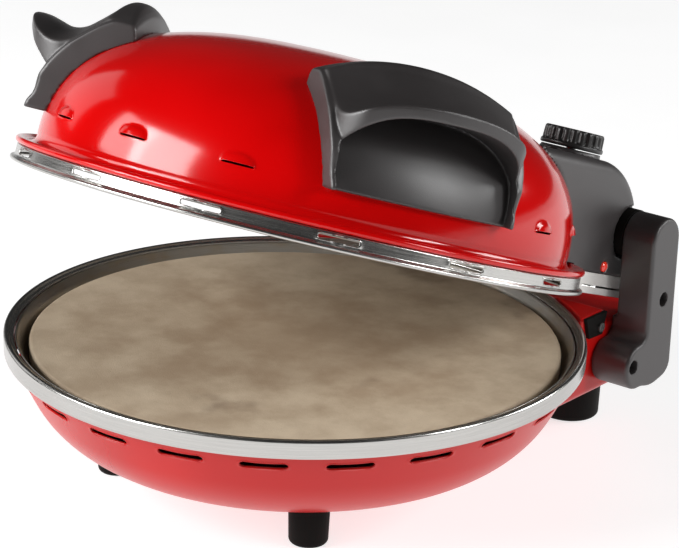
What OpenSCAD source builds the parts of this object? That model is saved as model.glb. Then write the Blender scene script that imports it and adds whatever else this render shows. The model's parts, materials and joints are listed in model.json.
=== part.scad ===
// Electric pizza maker: a shallow base bowl with a round baking stone, and a
// domed lid that swings up on two arms at the back.
// Millimetres, +Z up, the table at z = 0, the front towards -Y. The lid is
// drawn shut about the hinge axis and then swung open by lid_open.

/* [Base] */
// Outer radius of the steel rim round the base
rim_r = 172.5; // [165:0.5:180]
// Height of the rim above the table
rim_z = 90; // [86:1:96]
// Height of the bright rim band
band_h = 10.7; // [9:0.1:12]
// Height of the underside of the bowl above the table
bowl_floor_z = 23.6; // [20:0.2:26]
// Wall of the pressed shells
shell_t = 1.5; // [1.2:0.1:2.2]
// Number of cooling slots that would fill a full turn of the base
base_slots = 22; // [20:1:24]
// Length and height of one cooling slot in the base
base_slot_l = 26; // [20:1:28]
base_slot_h = 4.2; // [3:0.1:5]

/* [Rear extension] */
// Half width of the extension that carries the arms
ext_half_w = 113; // [110:0.5:115]
// Distance of its back face behind the stone's axis
ext_back = 212; // [208:1:216]
// Height of its underside and of its low roof above the table
ext_floor_z = 34; // [32:1:36]
ext_roof_z = 80; // [78:1:82]
// Half width, back edge and height of the deck beside the rim
deck_half_w = 116; // [115.5:0.5:120]
deck_back = 157; // [155:0.5:159]
deck_z = 89.5; // [88:0.5:89.5]

/* [Feet] */
// Place of the front feet
front_foot_x = 74; // [68:1:78]
front_foot_y = -75; // [-80:1:-68]
// Top and bottom radius of a front foot
front_foot_r = 12.2; // [11:0.1:13]
front_foot_tip_r = 11.4; // [10:0.1:12]
// Place of the rear feet
rear_foot_x = 73; // [68:1:78]
rear_foot_y = 190; // [186:1:192]
// Radius of a rear foot
rear_foot_r = 20; // [18:0.5:23]

/* [Baking] */
// Radius, thickness and top height of the baking stone
stone_r = 157.5; // [150:0.5:158]
stone_t = 12; // [10:1:13]
stone_z = 84; // [83:0.5:85]
// Radius of the sheath of the heating elements
element_r = 3.25; // [3:0.05:3.5]
// Radius of the lower and of the upper element's loop
lower_loop_r = 108; // [100:1:112]
upper_loop_r = 100; // [90:1:104]

/* [Hinge] */
// Hinge axis behind the stone's axis and above the table
hinge_y = 184; // [183:0.5:185]
hinge_z = 131.5; // [131:0.5:132.5]
// Angle at which the lid stands open
lid_open = 19; // [0:1:60]
// Radius of the hinge pin
pin_r = 4; // [3.5:0.1:4.2]
// Outer face of an arm from the middle
arm_outer_x = 140; // [136:0.5:144]
// Half width of the upright of an arm
arm_half_w = 15; // [14.5:0.1:15.5]

/* [Lid] */
// Gap between the base rim and the shut lid's lip
lid_gap = 3; // [2.5:0.1:4]
// Outer radius and height of the lid's steel band
lid_band_r = 168.4; // [167:0.1:169]
lid_band_h = 10.2; // [9:0.1:11]
// Radius and height of the domed cover
dome_r = 158.5; // [157:0.5:160]
dome_h = 92; // [88:1:96]
// Number of band slots in a full turn, and the bearing of one of them
lid_slots = 14; // [12:1:14]
lid_slot_phase = -6.5; // [-12:0.5:12]
// Length and height of one band slot
lid_slot_l = 23; // [18:1:26]
lid_slot_h = 5; // [4:0.1:6]

/* [Handles] */
// Bearing of a handle from the front
handle_az = 60; // [56:1:64]
// Half width of a handle
handle_half_w = 59; // [58:0.5:61]
// Reach of the hood from the dome's axis
handle_reach = 177.5; // [176:0.5:179]
// Half width and height of the finger opening
grip_half_w = 56; // [54:0.5:56.5]
grip_h = 47; // [44:1:48]

/* [Rear housing] */
// Half width of the housing between the arms
housing_half_w = 112.4; // [111:0.1:112.5]
// Radius of its rounded back
housing_back_r = 53; // [51:0.5:54]

/* [Knob] */
// Place of the knob
knob_x = 78; // [74:1:82]
knob_y = 150; // [146:1:154]
// Radius and height of the knob
knob_r = 19.5; // [17:0.5:21]
knob_h = 11.5; // [10:0.5:14]

/* [Hidden] */
$fn = 96;

e = 0.01;
bead_r = 1.9;
frame_y = (ext_back - rim_r) / 2;
lip_z = rim_z + lid_gap;
band_top_z = lip_z + lid_band_h;
bowl_top_z = rim_z - band_h;
bowl_r = rim_r - 5.5;
wall_foot = [bowl_r - 11.5, bowl_top_z - 22.5];
wall_lean = atan2(bowl_r - wall_foot[0], bowl_top_z - wall_foot[1]);
bowl_arc_r = (wall_foot[1] - bowl_floor_z) / (1 - sin(wall_lean));
slot_z = bowl_top_z - 7.3;
dish_z = stone_z - stone_t - 11;
lower_loop_z = dish_z + 6;
upper_loop_z = lip_z + 30;
louvre_z = lip_z + 32.6;
handle_foot_z = lip_z + 31;
housing_foot_z = band_top_z + 0.4;
arc_c = [hinge_y - 38, hinge_z - 13.5];
knob_z = lip_z + 80.8;
lower_screw = [hinge_y - 28.3, hinge_z - 73.7];
upper_screw = [hinge_y + 1, hinge_z - 37.1];
lead_y = hinge_y - 9.2;
lead_z = hinge_z - 66;
inner_face_x = ext_half_w + 0.2;
arm_step = 3.8;
arm_step_z = 82;
plate_x = inner_face_x + arm_step + 0.4;
plate_t = 3;
leg_x = 26;
clip_screw = [deck_back - 9, deck_z - 8.5];
bore_gap = 0.06;
bracket_r = 9.5;

// ---------- placing ----------
module base_place() translate([0, -frame_y, 0]) children();
module lid_place() base_place() translate([0, hinge_y, hinge_z]) rotate([-lid_open, 0, 0])
    translate([0, -hinge_y, -hinge_z]) children();
module both_sides() {
    children();
    mirror([1, 0, 0]) children();
}
// an outline drawn as (y, z), pulled along X from x0 to x1
module along_x(x0, x1) translate([x0, 0, 0]) rotate([90, 0, 90]) linear_extrude(x1 - x0) children();
// a round bar along X at (y, z)
module bar_x(x0, x1, y, z, r) translate([x0, y, z]) rotate([0, 90, 0]) cylinder(r = r, h = x1 - x0);
// children face the bearing az, measured from the front towards +X
module bearing(az) rotate([0, 0, az]) children();
// a box from its two corners
module block(a, b) translate(a) cube(b - a);
// a straight wire from p to q, and one that bends at a slightly fuller joint m
module wire(p, q, r) {
    v = q - p;
    translate(p) rotate([0, acos(v[2] / norm(v)), atan2(v[1], v[0])]) cylinder(r = r, h = norm(v), $fn = 24);
}
module bent_wire(p, m, q, r) {
    wire(p, m, r);
    translate(m) sphere(r = r + 0.25, $fn = 24);
    wire(m, q, r);
}
module stadium(l, h) {
    square([l - h, h], center = true);
    for (s = [-1, 1]) translate([s * (l - h) / 2, 0]) circle(d = h, $fn = 32);
}
// a stadium cut outwards through a wall at bearing az and height z
module slot_cut(az, r_in, z, l, h, depth) bearing(az) translate([0, -r_in, z]) rotate([90, 0, 0])
    linear_extrude(depth) stadium(l, h);

// ---------- shared outlines ----------
function superellipse(a, b, n, m, steps) =
    [for (i = [0 : steps]) [a * pow(cos(90 * i / steps), 2 / n), b * pow(sin(90 * i / steps), 2 / m)]];
function lift(pts, z) = [for (p = pts) [p[0], p[1] + z]];
function back(pts) = [for (i = [len(pts) - 1 : -1 : 0]) pts[i]];

// the bowl: a leaning wall that turns into a flat floor through one arc
function bowl_outline(t) = concat(
    [[0, bowl_top_z + (t > 0 ? 2 : 0)], [bowl_r - t, bowl_top_z + (t > 0 ? 2 : 0)], [bowl_r - t, bowl_top_z]],
    [for (i = [0 : 10]) let (a = wall_lean + (90 - wall_lean) * i / 10)
        [wall_foot[0] - t * cos(wall_lean) + (bowl_arc_r - t) * (cos(a) - cos(wall_lean)),
         wall_foot[1] + t * sin(wall_lean) - (bowl_arc_r - t) * (sin(a) - sin(wall_lean))]],
    [[0, bowl_floor_z + t]]);
module bowl_solid(t) rotate_extrude() polygon(bowl_outline(t));

function dome_outline(g) = lift(superellipse(dome_r + g, dome_h + g, 2.475, 2.854, 22), band_top_z);
module dome_solid(g) rotate_extrude()
    polygon(concat([[0, band_top_z - 4], [dome_r + g, band_top_z - 4]], dome_outline(g)));
function reflector_outline(g) = lift(superellipse(150 + g, 62 + g, 2.4, 2.4, 18), band_top_z - 1.3);

// ---------- base ----------
module extension_box(inset) block(
    [-ext_half_w + inset, 88, ext_floor_z + inset],
    [ext_half_w - inset, ext_back + (inset > 0 ? 1 : 0), ext_roof_z - inset]);
module deck_box(inset) difference() {
    block([-deck_half_w + inset, 60, (inset > 0 ? ext_roof_z - 6 : ext_roof_z - 3)],
          [deck_half_w - inset, deck_back - inset, deck_z - inset]);
    translate([0, 0, 60]) cylinder(r = rim_r + 0.6 + inset, h = 40);
}
module base_shell() color("firebrick") base_place() difference() {
    union() {
        bowl_solid(0);
        translate([0, 0, bowl_top_z]) cylinder(r = rim_r - 1.3, h = 1.5);
        difference() {
            extension_box(0);
            translate([0, 0, bowl_top_z]) cylinder(r = rim_r + 0.6, h = 20);
        }
        deck_box(0);
    }
    bowl_solid(shell_t);
    extension_box(shell_t);
    deck_box(shell_t);
    translate([0, 0, bowl_top_z - 2]) cylinder(r = bowl_r - shell_t, h = 8);
    for (k = [-7 : 7]) slot_cut(360 / base_slots * k, 150, slot_z, base_slot_l, base_slot_h, 30);
    for (s = [-1, 1]) {
        translate([s * front_foot_x, front_foot_y, 10]) cylinder(r = 2.4, h = 20);
        translate([s * rear_foot_x, rear_foot_y, 30]) cylinder(r = 2.4, h = 10);
    }
    bar_x(-ext_half_w - 1, ext_half_w + 1, lower_screw[0], lower_screw[1], 2.7);
    both_sides() bar_x(ext_half_w - 5, ext_half_w + 1, lead_y, lead_z, 3);
    both_sides() bar_x(deck_half_w - 6, deck_half_w + 4, clip_screw[0], clip_screw[1], 1.6);
}
module base_rim_band() color("silver") base_place() rotate_extrude() {
    translate([rim_r - 1.1, bowl_top_z]) square([1.1, band_h - 1.5]);
    translate([rim_r - bead_r, rim_z - bead_r]) circle(r = bead_r, $fn = 32);
    translate([rim_r - 6.5, rim_z - 1.9]) square([5.5, 1.1]);
    translate([rim_r - 6.5, rim_z - 7]) square([1, 6]);
}
module lower_reflector() color("gray") base_place() difference() {
    rotate_extrude() {
        polygon([[0, dish_z - 1], [146, dish_z - 1], [156.2, dish_z + 7], [165.7, rim_z - 3],
                 [164.5, rim_z - 3], [155, dish_z + 7.6], [145.4, dish_z], [0, dish_z]]);
    }
    for (s = [-1, 1]) translate([s * leg_x, 130, lower_loop_z]) rotate([-90, 0, 0]) cylinder(r = 4.5, h = 40);
    translate([0, -60, dish_z - 3]) cylinder(r = 2.1, h = 5);
}
module baking_stone() color("burlywood") base_place() translate([0, 0, stone_z - stone_t])
    rotate_extrude() polygon([[0, 0], [stone_r - 1.5, 0], [stone_r, 1.5], [stone_r, stone_t - 2],
                              [stone_r - 2, stone_t], [0, stone_t]]);
// a folded steel strip: foot on the dish, tab under the stone
module stone_supports() color("silver") base_place() for (az = [40, 130, 230, 320]) bearing(az) {
    block([-8, -142, dish_z], [8, -128, dish_z + 1.2]);
    block([-8, -142, dish_z + 1], [8, -140.6, stone_z - stone_t - 1]);
    block([-8, -142, stone_z - stone_t - 1.2], [8, -128, stone_z - stone_t]);
}
// an almost closed loop of sheathed rod with two straight legs to the back
module element(loop_r, z, leg_end) {
    gap = asin(leg_x / loop_r);
    end_y = sqrt(loop_r * loop_r - leg_x * leg_x);
    translate([0, 0, z]) rotate([0, 0, 90 + gap]) rotate_extrude(angle = 360 - 2 * gap)
        translate([loop_r, 0]) circle(r = element_r, $fn = 24);
    for (s = [-1, 1]) {
        translate([s * leg_x, end_y, z]) sphere(r = element_r + 0.3, $fn = 32);
        translate([s * leg_x, end_y, z]) rotate([-90, 0, 0]) cylinder(r = element_r, h = leg_end - end_y, $fn = 24);
    }
}
module lower_element() color("dimgray") base_place() element(lower_loop_r, lower_loop_z, 170);
module lower_element_clips() color("silver") base_place() for (az = [0, 110, 250]) bearing(az) difference() {
    block([-5, -lower_loop_r - 6, dish_z], [5, -lower_loop_r + 6, lower_loop_z + element_r + 1.2]);
    bar_x(-20, 20, -lower_loop_r, lower_loop_z, element_r + 0.15);
    block([-6, -lower_loop_r + 4.6, dish_z + 1.2], [6, -lower_loop_r + 8, lower_loop_z + 6]);
}
module terminal_block(y, z) difference() {
    block([-38, y, z - 8], [38, y + 20, z + 8]);
    for (s = [-1, 1]) translate([s * leg_x, y - 1, z]) rotate([-90, 0, 0])
        cylinder(r = element_r + 0.1, h = 12);
    for (s = [-1, 1]) translate([s * leg_x, y + 15, z + 2]) cylinder(r = 2.6, h = 10);
}
module lower_terminal_block() color("ivory") base_place() terminal_block(161, lower_loop_z);
module thermal_fuse() color("silver") base_place() {
    translate([0, -60, dish_z - 7]) cylinder(r = 6, h = 5.8);
    translate([0, -60, dish_z - 2]) cylinder(r = 2, h = 4);
    for (s = [-1, 1]) block([s * 8 - 3, -61, dish_z - 6], [s * 8 + 3, -59, dish_z - 5]);
}
module hinge_frame() color("gray") base_place() difference() {
    union() {
        block([-110.6, 148, ext_floor_z + 2.2], [110.6, 202, ext_floor_z + 4.2]);
        both_sides() block([108.4, 148, ext_floor_z + 3], [110.6, 202, ext_roof_z - 6]);
    }
    for (s = [-1, 1]) translate([s * rear_foot_x, rear_foot_y, 30]) cylinder(r = 2.4, h = 12);
    bar_x(-115, 115, lower_screw[0], lower_screw[1], 2.6);
    bar_x(-115, 115, lead_y, lead_z, 3);
}
gland_x = -62;
gland_z = 57;
module rear_cover() color("#2c2828") base_place() difference() {
    union() {
        block([-110.8, ext_back - 4, ext_floor_z + 2], [110.8, ext_back - 1.4, ext_roof_z - 2]);
        for (i = [0 : 8]) block([10 + i * 9, ext_back - 1.6, ext_floor_z + 10],
                                [13 + i * 9, ext_back - 0.2, ext_roof_z - 10]);
    }
    translate([gland_x, ext_back - 6, gland_z]) rotate([-90, 0, 0]) cylinder(r = 7, h = 10);
    for (s = [-1, 1], h = [ext_floor_z + 7, ext_roof_z - 7]) translate([s * 104, ext_back - 6, h])
        rotate([-90, 0, 0]) cylinder(r = 1.7, h = 10);
}
module rear_cover_screws() color("silver") base_place()
    for (s = [-1, 1], h = [ext_floor_z + 7, ext_roof_z - 7]) translate([s * 104, ext_back - 1.4, h])
        rotate([-90, 0, 0]) {
            cylinder(r = 3, h = 1.2);
            translate([0, 0, -6]) cylinder(r = 1.6, h = 6.5);
        }
module cord_gland() color("#1c1a1a") base_place() translate([gland_x, ext_back, gland_z]) rotate([-90, 0, 0])
    difference() {
        union() {
            translate([0, 0, -6]) cylinder(r = 6.9, h = 6);
            translate([0, 0, -7.5]) cylinder(r = 8.5, h = 3.3);
            translate([0, 0, -1.3]) cylinder(r = 8.5, h = 1.3);
        }
        translate([0, 0, -9]) cylinder(r = 3.8, h = 12);
    }
module mains_terminal() color("ivory") base_place() difference() {
    block([-58, 176, ext_floor_z + 4.4], [-22, 192, ext_floor_z + 18]);
    for (i = [0 : 2]) translate([-51 + 11 * i, 184, ext_floor_z + 12]) cylinder(r = 2.4, h = 10);
}
module base_wiring() color("white") base_place() for (s = [-1, 1]) {
    bent_wire([-40 + 11 * s, 184, ext_floor_z + 18.6], [-40 + 11 * s, 184, 76.8], [26 * s, 177, 76.8], 1.2);
}
// a tapered foot with a rounded lower edge, cut to the shape it stands under
module foot(r_top, r_tip, h) rotate_extrude() polygon(concat(
    [[0, h], [r_top, h]],
    [for (a = [0 : 15 : 90]) [r_tip - 3 + 3 * cos(a), 3 - 3 * sin(a)]], [[0, 0]]));
module front_foot(s) color("#2c2828") base_place() difference() {
    translate([s * front_foot_x, front_foot_y, 0]) foot(front_foot_r, front_foot_tip_r, 30);
    bowl_solid(0);
    translate([s * front_foot_x, front_foot_y, 8]) cylinder(r = 2.1, h = 30);
}
module rear_foot(s) color("#2c2828") base_place() difference() {
    translate([s * rear_foot_x, rear_foot_y, 0]) foot(rear_foot_r, rear_foot_r - 0.8, ext_floor_z);
    translate([s * rear_foot_x, rear_foot_y, 14]) cylinder(r = 2.1, h = 30);
}
module foot_front_left() front_foot(-1);
module foot_front_right() front_foot(1);
module foot_rear_left() rear_foot(-1);
module foot_rear_right() rear_foot(1);
module foot_screws() color("silver") base_place() for (s = [-1, 1]) {
    translate([s * front_foot_x, front_foot_y, 9]) cylinder(r = 2, h = bowl_floor_z - 6);
    translate([s * front_foot_x, front_foot_y, bowl_floor_z + 2.4]) cylinder(r = 4.2, h = 2.6);
    translate([s * rear_foot_x, rear_foot_y, 15]) cylinder(r = 2, h = 24);
    translate([s * rear_foot_x, rear_foot_y, ext_floor_z + 4.3]) cylinder(r = 4.2, h = 2.6);
}
// a small black corner piece that ties the deck to the rim band
module corner_clips() color("#242020") base_place() both_sides() difference() {
    along_x(deck_half_w + 0.1, deck_half_w + 2.6)
        polygon([[deck_back - 24, deck_z - 0.2], [deck_back - 1.5, deck_z - 0.2],
                 [deck_back - 5.5, deck_z - 14], [deck_back - 20, deck_z - 13.5]]);
    bar_x(deck_half_w - 1, deck_half_w + 5, clip_screw[0], clip_screw[1], 1.8);
}
module corner_screws() color("silver") base_place() both_sides() {
    bar_x(deck_half_w - 5, deck_half_w + 3, clip_screw[0], clip_screw[1], 1.5);
    bar_x(deck_half_w + 2.7, deck_half_w + 4.3, clip_screw[0], clip_screw[1], 3);
}

// ---------- arms and hinge ----------
// the boot outline of an arm as (y, z): upright, round head, foot towards the front
module arm_outline() {
    foot_z = hinge_z - 89.5;
    translate([hinge_y, hinge_z]) circle(r = arm_half_w);
    translate([hinge_y - arm_half_w, foot_z + 10]) square([2 * arm_half_w, 79.5]);
    translate([hinge_y - 21, foot_z + 14]) circle(r = 14);
    translate([hinge_y - 21, foot_z]) square([26, 28]);
    translate([hinge_y + arm_half_w - 10, foot_z + 10]) circle(r = 10);
    difference() {
        translate([hinge_y - 23, foot_z + 28 - e]) square([8 + e, 8]);
        translate([hinge_y - 23, foot_z + 36]) circle(r = 8);
    }
}
module plate_outline(g) {
    foot_z = hinge_z - 89.5;
    translate([hinge_y, hinge_z]) circle(r = 11 + g);
    translate([hinge_y - 11 - g, foot_z + 4 - g]) square([22 + 2 * g, 85.5 + g]);
    translate([hinge_y - 20, foot_z + 14]) circle(r = 10 + g);
    translate([hinge_y - 20, foot_z + 4 - g]) square([20, 20 + 2 * g]);
}
module arm() difference() {
    union() {
        difference() {
            along_x(inner_face_x, arm_outer_x) arm_outline();
            along_x(inner_face_x - 1, arm_outer_x - 3) plate_outline(0.6);
        }
        for (p = [lower_screw, upper_screw]) bar_x(plate_x + plate_t + 0.2, arm_outer_x - 2, p[0], p[1], 7);
    }
    block([inner_face_x - 1, hinge_y - 60, arm_step_z], [inner_face_x + arm_step, hinge_y + 60, hinge_z + 40]);
    for (p = [lower_screw, upper_screw]) {
        bar_x(arm_outer_x - 16, arm_outer_x + 1, p[0], p[1], 4.4);
        bar_x(inner_face_x, arm_outer_x, p[0], p[1], 2.6);
    }
}
module arm_right() color("#3a3533") base_place() arm();
module arm_left() color("#3a3533") base_place() mirror([1, 0, 0]) arm();
// the plate stands off the extension on a pad the height of its side
module hinge_plate() difference() {
    union() {
        along_x(plate_x, plate_x + plate_t) plate_outline(0);
        along_x(inner_face_x + 0.4, plate_x + 1) intersection() {
            plate_outline(0);
            translate([hinge_y - 60, 0]) square([120, arm_step_z - 3]);
        }
    }
    bar_x(plate_x - 1, plate_x + plate_t + 1, hinge_y, hinge_z, pin_r + bore_gap);
    for (p = [lower_screw, upper_screw]) bar_x(inner_face_x, plate_x + 5, p[0], p[1], 2.6);
    bar_x(inner_face_x, plate_x + 5, lead_y, lead_z, 3);
}
module hinge_plate_right() color("silver") base_place() hinge_plate();
module hinge_plate_left() color("silver") base_place() mirror([1, 0, 0]) hinge_plate();
module arm_screws() color("silver") base_place() both_sides() {
    for (p = [lower_screw, upper_screw]) bar_x(arm_outer_x - 16, arm_outer_x - 12.8, p[0], p[1], 4);
    bar_x(106, arm_outer_x - 15, lower_screw[0], lower_screw[1], 2.5);
    bar_x(plate_x, arm_outer_x - 15, upper_screw[0], upper_screw[1], 2.5);
}
module hinge_spacers() color("#242020") base_place() both_sides() difference() {
    union() {
        bar_x(108.3, inner_face_x + arm_step - 0.1, hinge_y, hinge_z, arm_half_w + 0.4);
        bar_x(108.3, plate_x - 0.1, hinge_y, hinge_z, 11);
    }
    bar_x(100, 120, hinge_y, hinge_z, pin_r + bore_gap);
}
module hinge_pin() difference() {
    union() {
        bar_x(97, plate_x + plate_t + 3, hinge_y, hinge_z, pin_r);
        bar_x(plate_x + plate_t + 0.2, plate_x + plate_t + 3.4, hinge_y, hinge_z, 7);
    }
    bar_x(90, 135, hinge_y, hinge_z, 2.2);
}
module hinge_pin_right() color("silver") base_place() hinge_pin();
module hinge_pin_left() color("silver") base_place() mirror([1, 0, 0]) hinge_pin();
// the lid's supply lead: up inside the left arm and in through the hollow pin
module lid_lead() color("white") base_place() mirror([1, 0, 0]) {
    x = plate_x + plate_t + 6.4;
    bent_wire([104, lead_y, lead_z], [x, lead_y, lead_z], [x, lead_y, hinge_z - 20], 1.5);
    translate([x, lead_y, hinge_z - 20]) sphere(r = 1.75, $fn = 24);
    bent_wire([x, lead_y, hinge_z - 20], [x, hinge_y, hinge_z], [95, hinge_y, hinge_z], 1.5);
}

// ---------- lid ----------
louvre_az = [-120, -96, -24, 0, 24, 96, 120];
wall_r = dome_r - 1.1;
// a half-moon pressed outwards above a narrow slit
module louvre_bump() translate([0, -wall_r + 18, louvre_z]) intersection() {
    translate([0, 0, -3]) sphere(r = 20, $fn = 64);
    block([-12, -22, 0], [12, -16, 8]);
}
// the direct line of the thermostat's fine tube through the wall
tube_a = [62, 104, lip_z + 70];
tube_b = [74, 145.6, lip_z + 46];
module lid_dome() color("red") lid_place() difference() {
    union() {
        rotate_extrude() {
            polygon(concat(dome_outline(0), back(dome_outline(-shell_t))));
            translate([dome_r - 1.4, band_top_z]) square([lid_band_r - dome_r + 1, 1.5]);
            translate([lid_band_r - 0.4, band_top_z + 1.9]) circle(r = 1.9, $fn = 24);
        }
        difference() {
            for (az = louvre_az) bearing(az) louvre_bump();
            dome_solid(-1);
        }
    }
    for (az = louvre_az) slot_cut(az, 150, louvre_z - 0.4, 15, 1.4, 20);
    for (az = [-handle_az, handle_az], t = [-40, 40]) bearing(az)
        translate([t, -130, lip_z + 45]) rotate([90, 0, 0]) cylinder(r = 2.15, h = 40);
    block([-48, 120, lip_z + 22], [48, 170, lip_z + 44]);
    wire(tube_a, tube_b, 2.2);
}
module lid_rim_band() color("silver") lid_place() difference() {
    rotate_extrude() {
        translate([lid_band_r - 1.2, lip_z + 1]) square([1.2, lid_band_h - 1.02]);
        translate([lid_band_r + 0.9, lip_z + 1.4]) circle(r = 1.4, $fn = 24);
        translate([161, band_top_z - 1.12]) square([lid_band_r - 161, 1.1]);
    }
    for (k = [-4 : 4]) slot_cut(lid_slot_phase + 360 / lid_slots * k, 163, lip_z + 5.6,
                                lid_slot_l, lid_slot_h, 10);
}
module reflector_solid(g) rotate_extrude() polygon(concat([[0, lip_z]], [[150 + g, lip_z]], reflector_outline(g)));
module upper_reflector() color("silver") lid_place() difference() {
    rotate_extrude() {
        polygon(concat(reflector_outline(0), back(reflector_outline(-1.2))));
        translate([148.9, band_top_z - 2.4]) square([16, 1.1]);
    }
    for (s = [-1, 1]) translate([s * leg_x, 100, upper_loop_z]) rotate([-90, 0, 0]) cylinder(r = 4.3, h = 70);
}
module insulation_pad() color("white") lid_place() difference() {
    rotate_extrude() polygon(concat([[0, band_top_z + 30]], [[126, band_top_z + 30]],
        [for (p = reflector_outline(9)) if (p[0] < 126) p]));
    reflector_solid(0.2);
    block([0, 94, band_top_z + 20], [80, 130, band_top_z + 75]);
}
module upper_element() color("dimgray") lid_place() element(upper_loop_r, upper_loop_z, 171);
module upper_element_hangers() color("silver") lid_place() intersection() {
    for (az = [0, 115, 245]) bearing(az) difference() {
        block([-5, -upper_loop_r - 5, upper_loop_z - element_r - 1.2], [5, -upper_loop_r + 5, band_top_z + 60]);
        bar_x(-20, 20, -upper_loop_r, upper_loop_z, element_r + 0.15);
        block([-6, -upper_loop_r - 8, upper_loop_z + 5.5], [6, -upper_loop_r + 2.5, band_top_z + 70]);
    }
    reflector_solid(-1.2);
}
module upper_terminal_block() color("ivory") lid_place() terminal_block(163, upper_loop_z);

// ---------- handles ----------
// the hood's section in its middle as (distance from the axis, height over the lip)
hood_section = [[90, 20], [185, 20], [185, 84.2], [176, 84.9], [171, 84.9], [166, 84], [157, 81.5], [149, 82],
                [142.6, 85], [134.2, 91.7], [125.6, 99.4], [120.1, 104.4], [116.5, 104.6], [111, 101.5],
                [107, 97], [105.5, 92], [105.5, 60], [90, 60]];
// the face of the hood as (distance inside its reach, height over the lip)
face_line = [[2.5, 31], [3, 34], [5.5, 40], [6, 47], [5, 55], [3.2, 63], [1.2, 72], [0, 79], [0, 112]];
face_r = 119;
crest_r = 165;
top_r = 130;
// the section swept sideways on a wide arc, so the hood falls towards its ends
module hood_sweep() translate([0, 0, lip_z + 84 - crest_r]) rotate([90, 0, 0]) rotate([0, 0, 55])
    rotate_extrude(angle = 70) polygon([for (p = hood_section) [p[1] - 84 + crest_r, p[0]]]);
module hood_face() translate([0, face_r - handle_reach, lip_z]) rotate_extrude() polygon(concat(
    [[0, 112], [0, 31]], [for (p = face_line) [face_r - p[0], p[1]]]));
// the hood seen along its reach, and from above
module hood_front() {
    w = handle_half_w;
    half = [[w - 4.5, 30], [w - 3.5, 38], [w - 2, 48], [w - 0.8, 58], [w, 70], [w, 112]];
    translate([0, 0, lip_z]) rotate([90, 0, 0]) linear_extrude(200)
        polygon(concat(half, back([for (p = half) [-p[0], p[1]]])));
}
module hood_plan() {
    w = handle_half_w - 2;
    half = [[w, 90], [w, 125], [w - 0.8, 140], [w - 1.8, 154], [w - 2.8, 159.5], [w - 4.8, 163.6],
            [w - 8, 167], [w - 13, 171], [w - 13, 185]];
    translate([0, 0, lip_z + 20]) linear_extrude(100)
        polygon([for (p = concat(half, back([for (q = half) [-q[0], q[1]]]))) [p[0], -p[1]]]);
}
module handle_body() intersection() {
    hood_sweep();
    hood_face();
    hood_front();
    union() {
        hood_plan();
        dome_solid(12.5);
    }
    translate([0, 0, lip_z + 104.6 - top_r]) rotate([90, 0, 0]) cylinder(r = top_r, h = 200);
    block([-70, -190, handle_foot_z], [70, -80, handle_foot_z + 90]);
}
module grip_space() rotate([90, 0, 0]) linear_extrude(210) {
    arch = [for (p = superellipse(grip_half_w, grip_h, 2.9, 2.9, 14))
        [min(p[0], grip_half_w - 4 + 0.13 * p[1]), p[1]]];
    polygon(lift(concat([[grip_half_w - 4, -5]], arch, back([for (p = arch) [-p[0], p[1]]]),
                        [[4 - grip_half_w, -5]]), handle_foot_z));
}
module handle() difference() {
    handle_body();
    dome_solid(0);
    difference() {
        grip_space();
        dome_solid(4.2);
    }
    for (t = [-40, 40]) translate([t, -140, lip_z + 45]) rotate([90, 0, 0]) cylinder(r = 2, h = 12);
}
module handle_right() color("#3a3533") lid_place() bearing(handle_az) handle();
module handle_left() color("#3a3533") lid_place() bearing(-handle_az) mirror([1, 0, 0]) handle();
module handle_screws() color("silver") lid_place() for (az = [-handle_az, handle_az], t = [-40, 40])
    bearing(az) translate([t, -143.2, lip_z + 45]) rotate([90, 0, 0]) {
        cylinder(r = 3.6, h = 2.6);
        cylinder(r = 1.9, h = 8.6);
    }

// ---------- rear housing ----------
// side outline as (y, z): a level roof that rolls over into an upright back
function housing_outline(t) = concat(
    [[50, housing_foot_z - (t > 0 ? 3 : 0)], [50, arc_c[1] + housing_back_r - t]],
    [for (a = [90 : -7 : -1]) [arc_c[0] + (housing_back_r - t) * cos(a), arc_c[1] + (housing_back_r - t) * sin(a)]],
    [[arc_c[0] + housing_back_r - t, housing_foot_z - (t > 0 ? 3 : 0)]]);
housing_wall = 2.6;
lamp_p = [hinge_y - 19, lip_z + 15.2];
module rear_housing() color("#3a3533") lid_place() difference() {
    union() {
        difference() {
            along_x(-housing_half_w, housing_half_w) polygon(housing_outline(0));
            along_x(-housing_half_w + housing_wall, housing_half_w - housing_wall)
                polygon(housing_outline(housing_wall));
        }
        both_sides() bar_x(104.4, housing_half_w, hinge_y, hinge_z, 13);
        both_sides() intersection() {
            bar_x(104.4, housing_half_w, hinge_y, hinge_z, 19.5);
            along_x(100, 113) polygon(housing_outline(0));
        }
    }
    dome_solid(0);
    translate([0, 0, lip_z]) cylinder(r = lid_band_r + 1.7, h = lid_band_h + 4.2);
    for (s = [-1, 1]) mirror([s < 0 ? 1 : 0, 0, 0]) {
        bar_x(108, 115, hinge_y, hinge_z, arm_half_w + 1.6);
        bar_x(100, 115, hinge_y, hinge_z, 6.6);
    }
    translate([knob_x, knob_y, knob_z - 30]) cylinder(r = 4.6, h = 40);
    bar_x(100, 115, lamp_p[0], lamp_p[1], 3.3);
}
module lid_rear_tray() color("silver") lid_place() difference() {
    block([-111.4, 100, lip_z - 2.6], [111.4, arc_c[0] + housing_back_r - 1, band_top_z + 0.2]);
    block([-110.2, 90, lip_z - 1.4], [110.2, arc_c[0] + housing_back_r - 2.2, band_top_z + 5]);
    translate([0, 0, lip_z - 5]) cylinder(r = lid_band_r + 2.6, h = 30);
    translate([0, 0, lip_z - 5]) cylinder(r = rim_r + 2, h = 5.2);
    block([-115, 146, lip_z + 1.6], [115, 194, lip_z + 2.8]);
}
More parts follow.
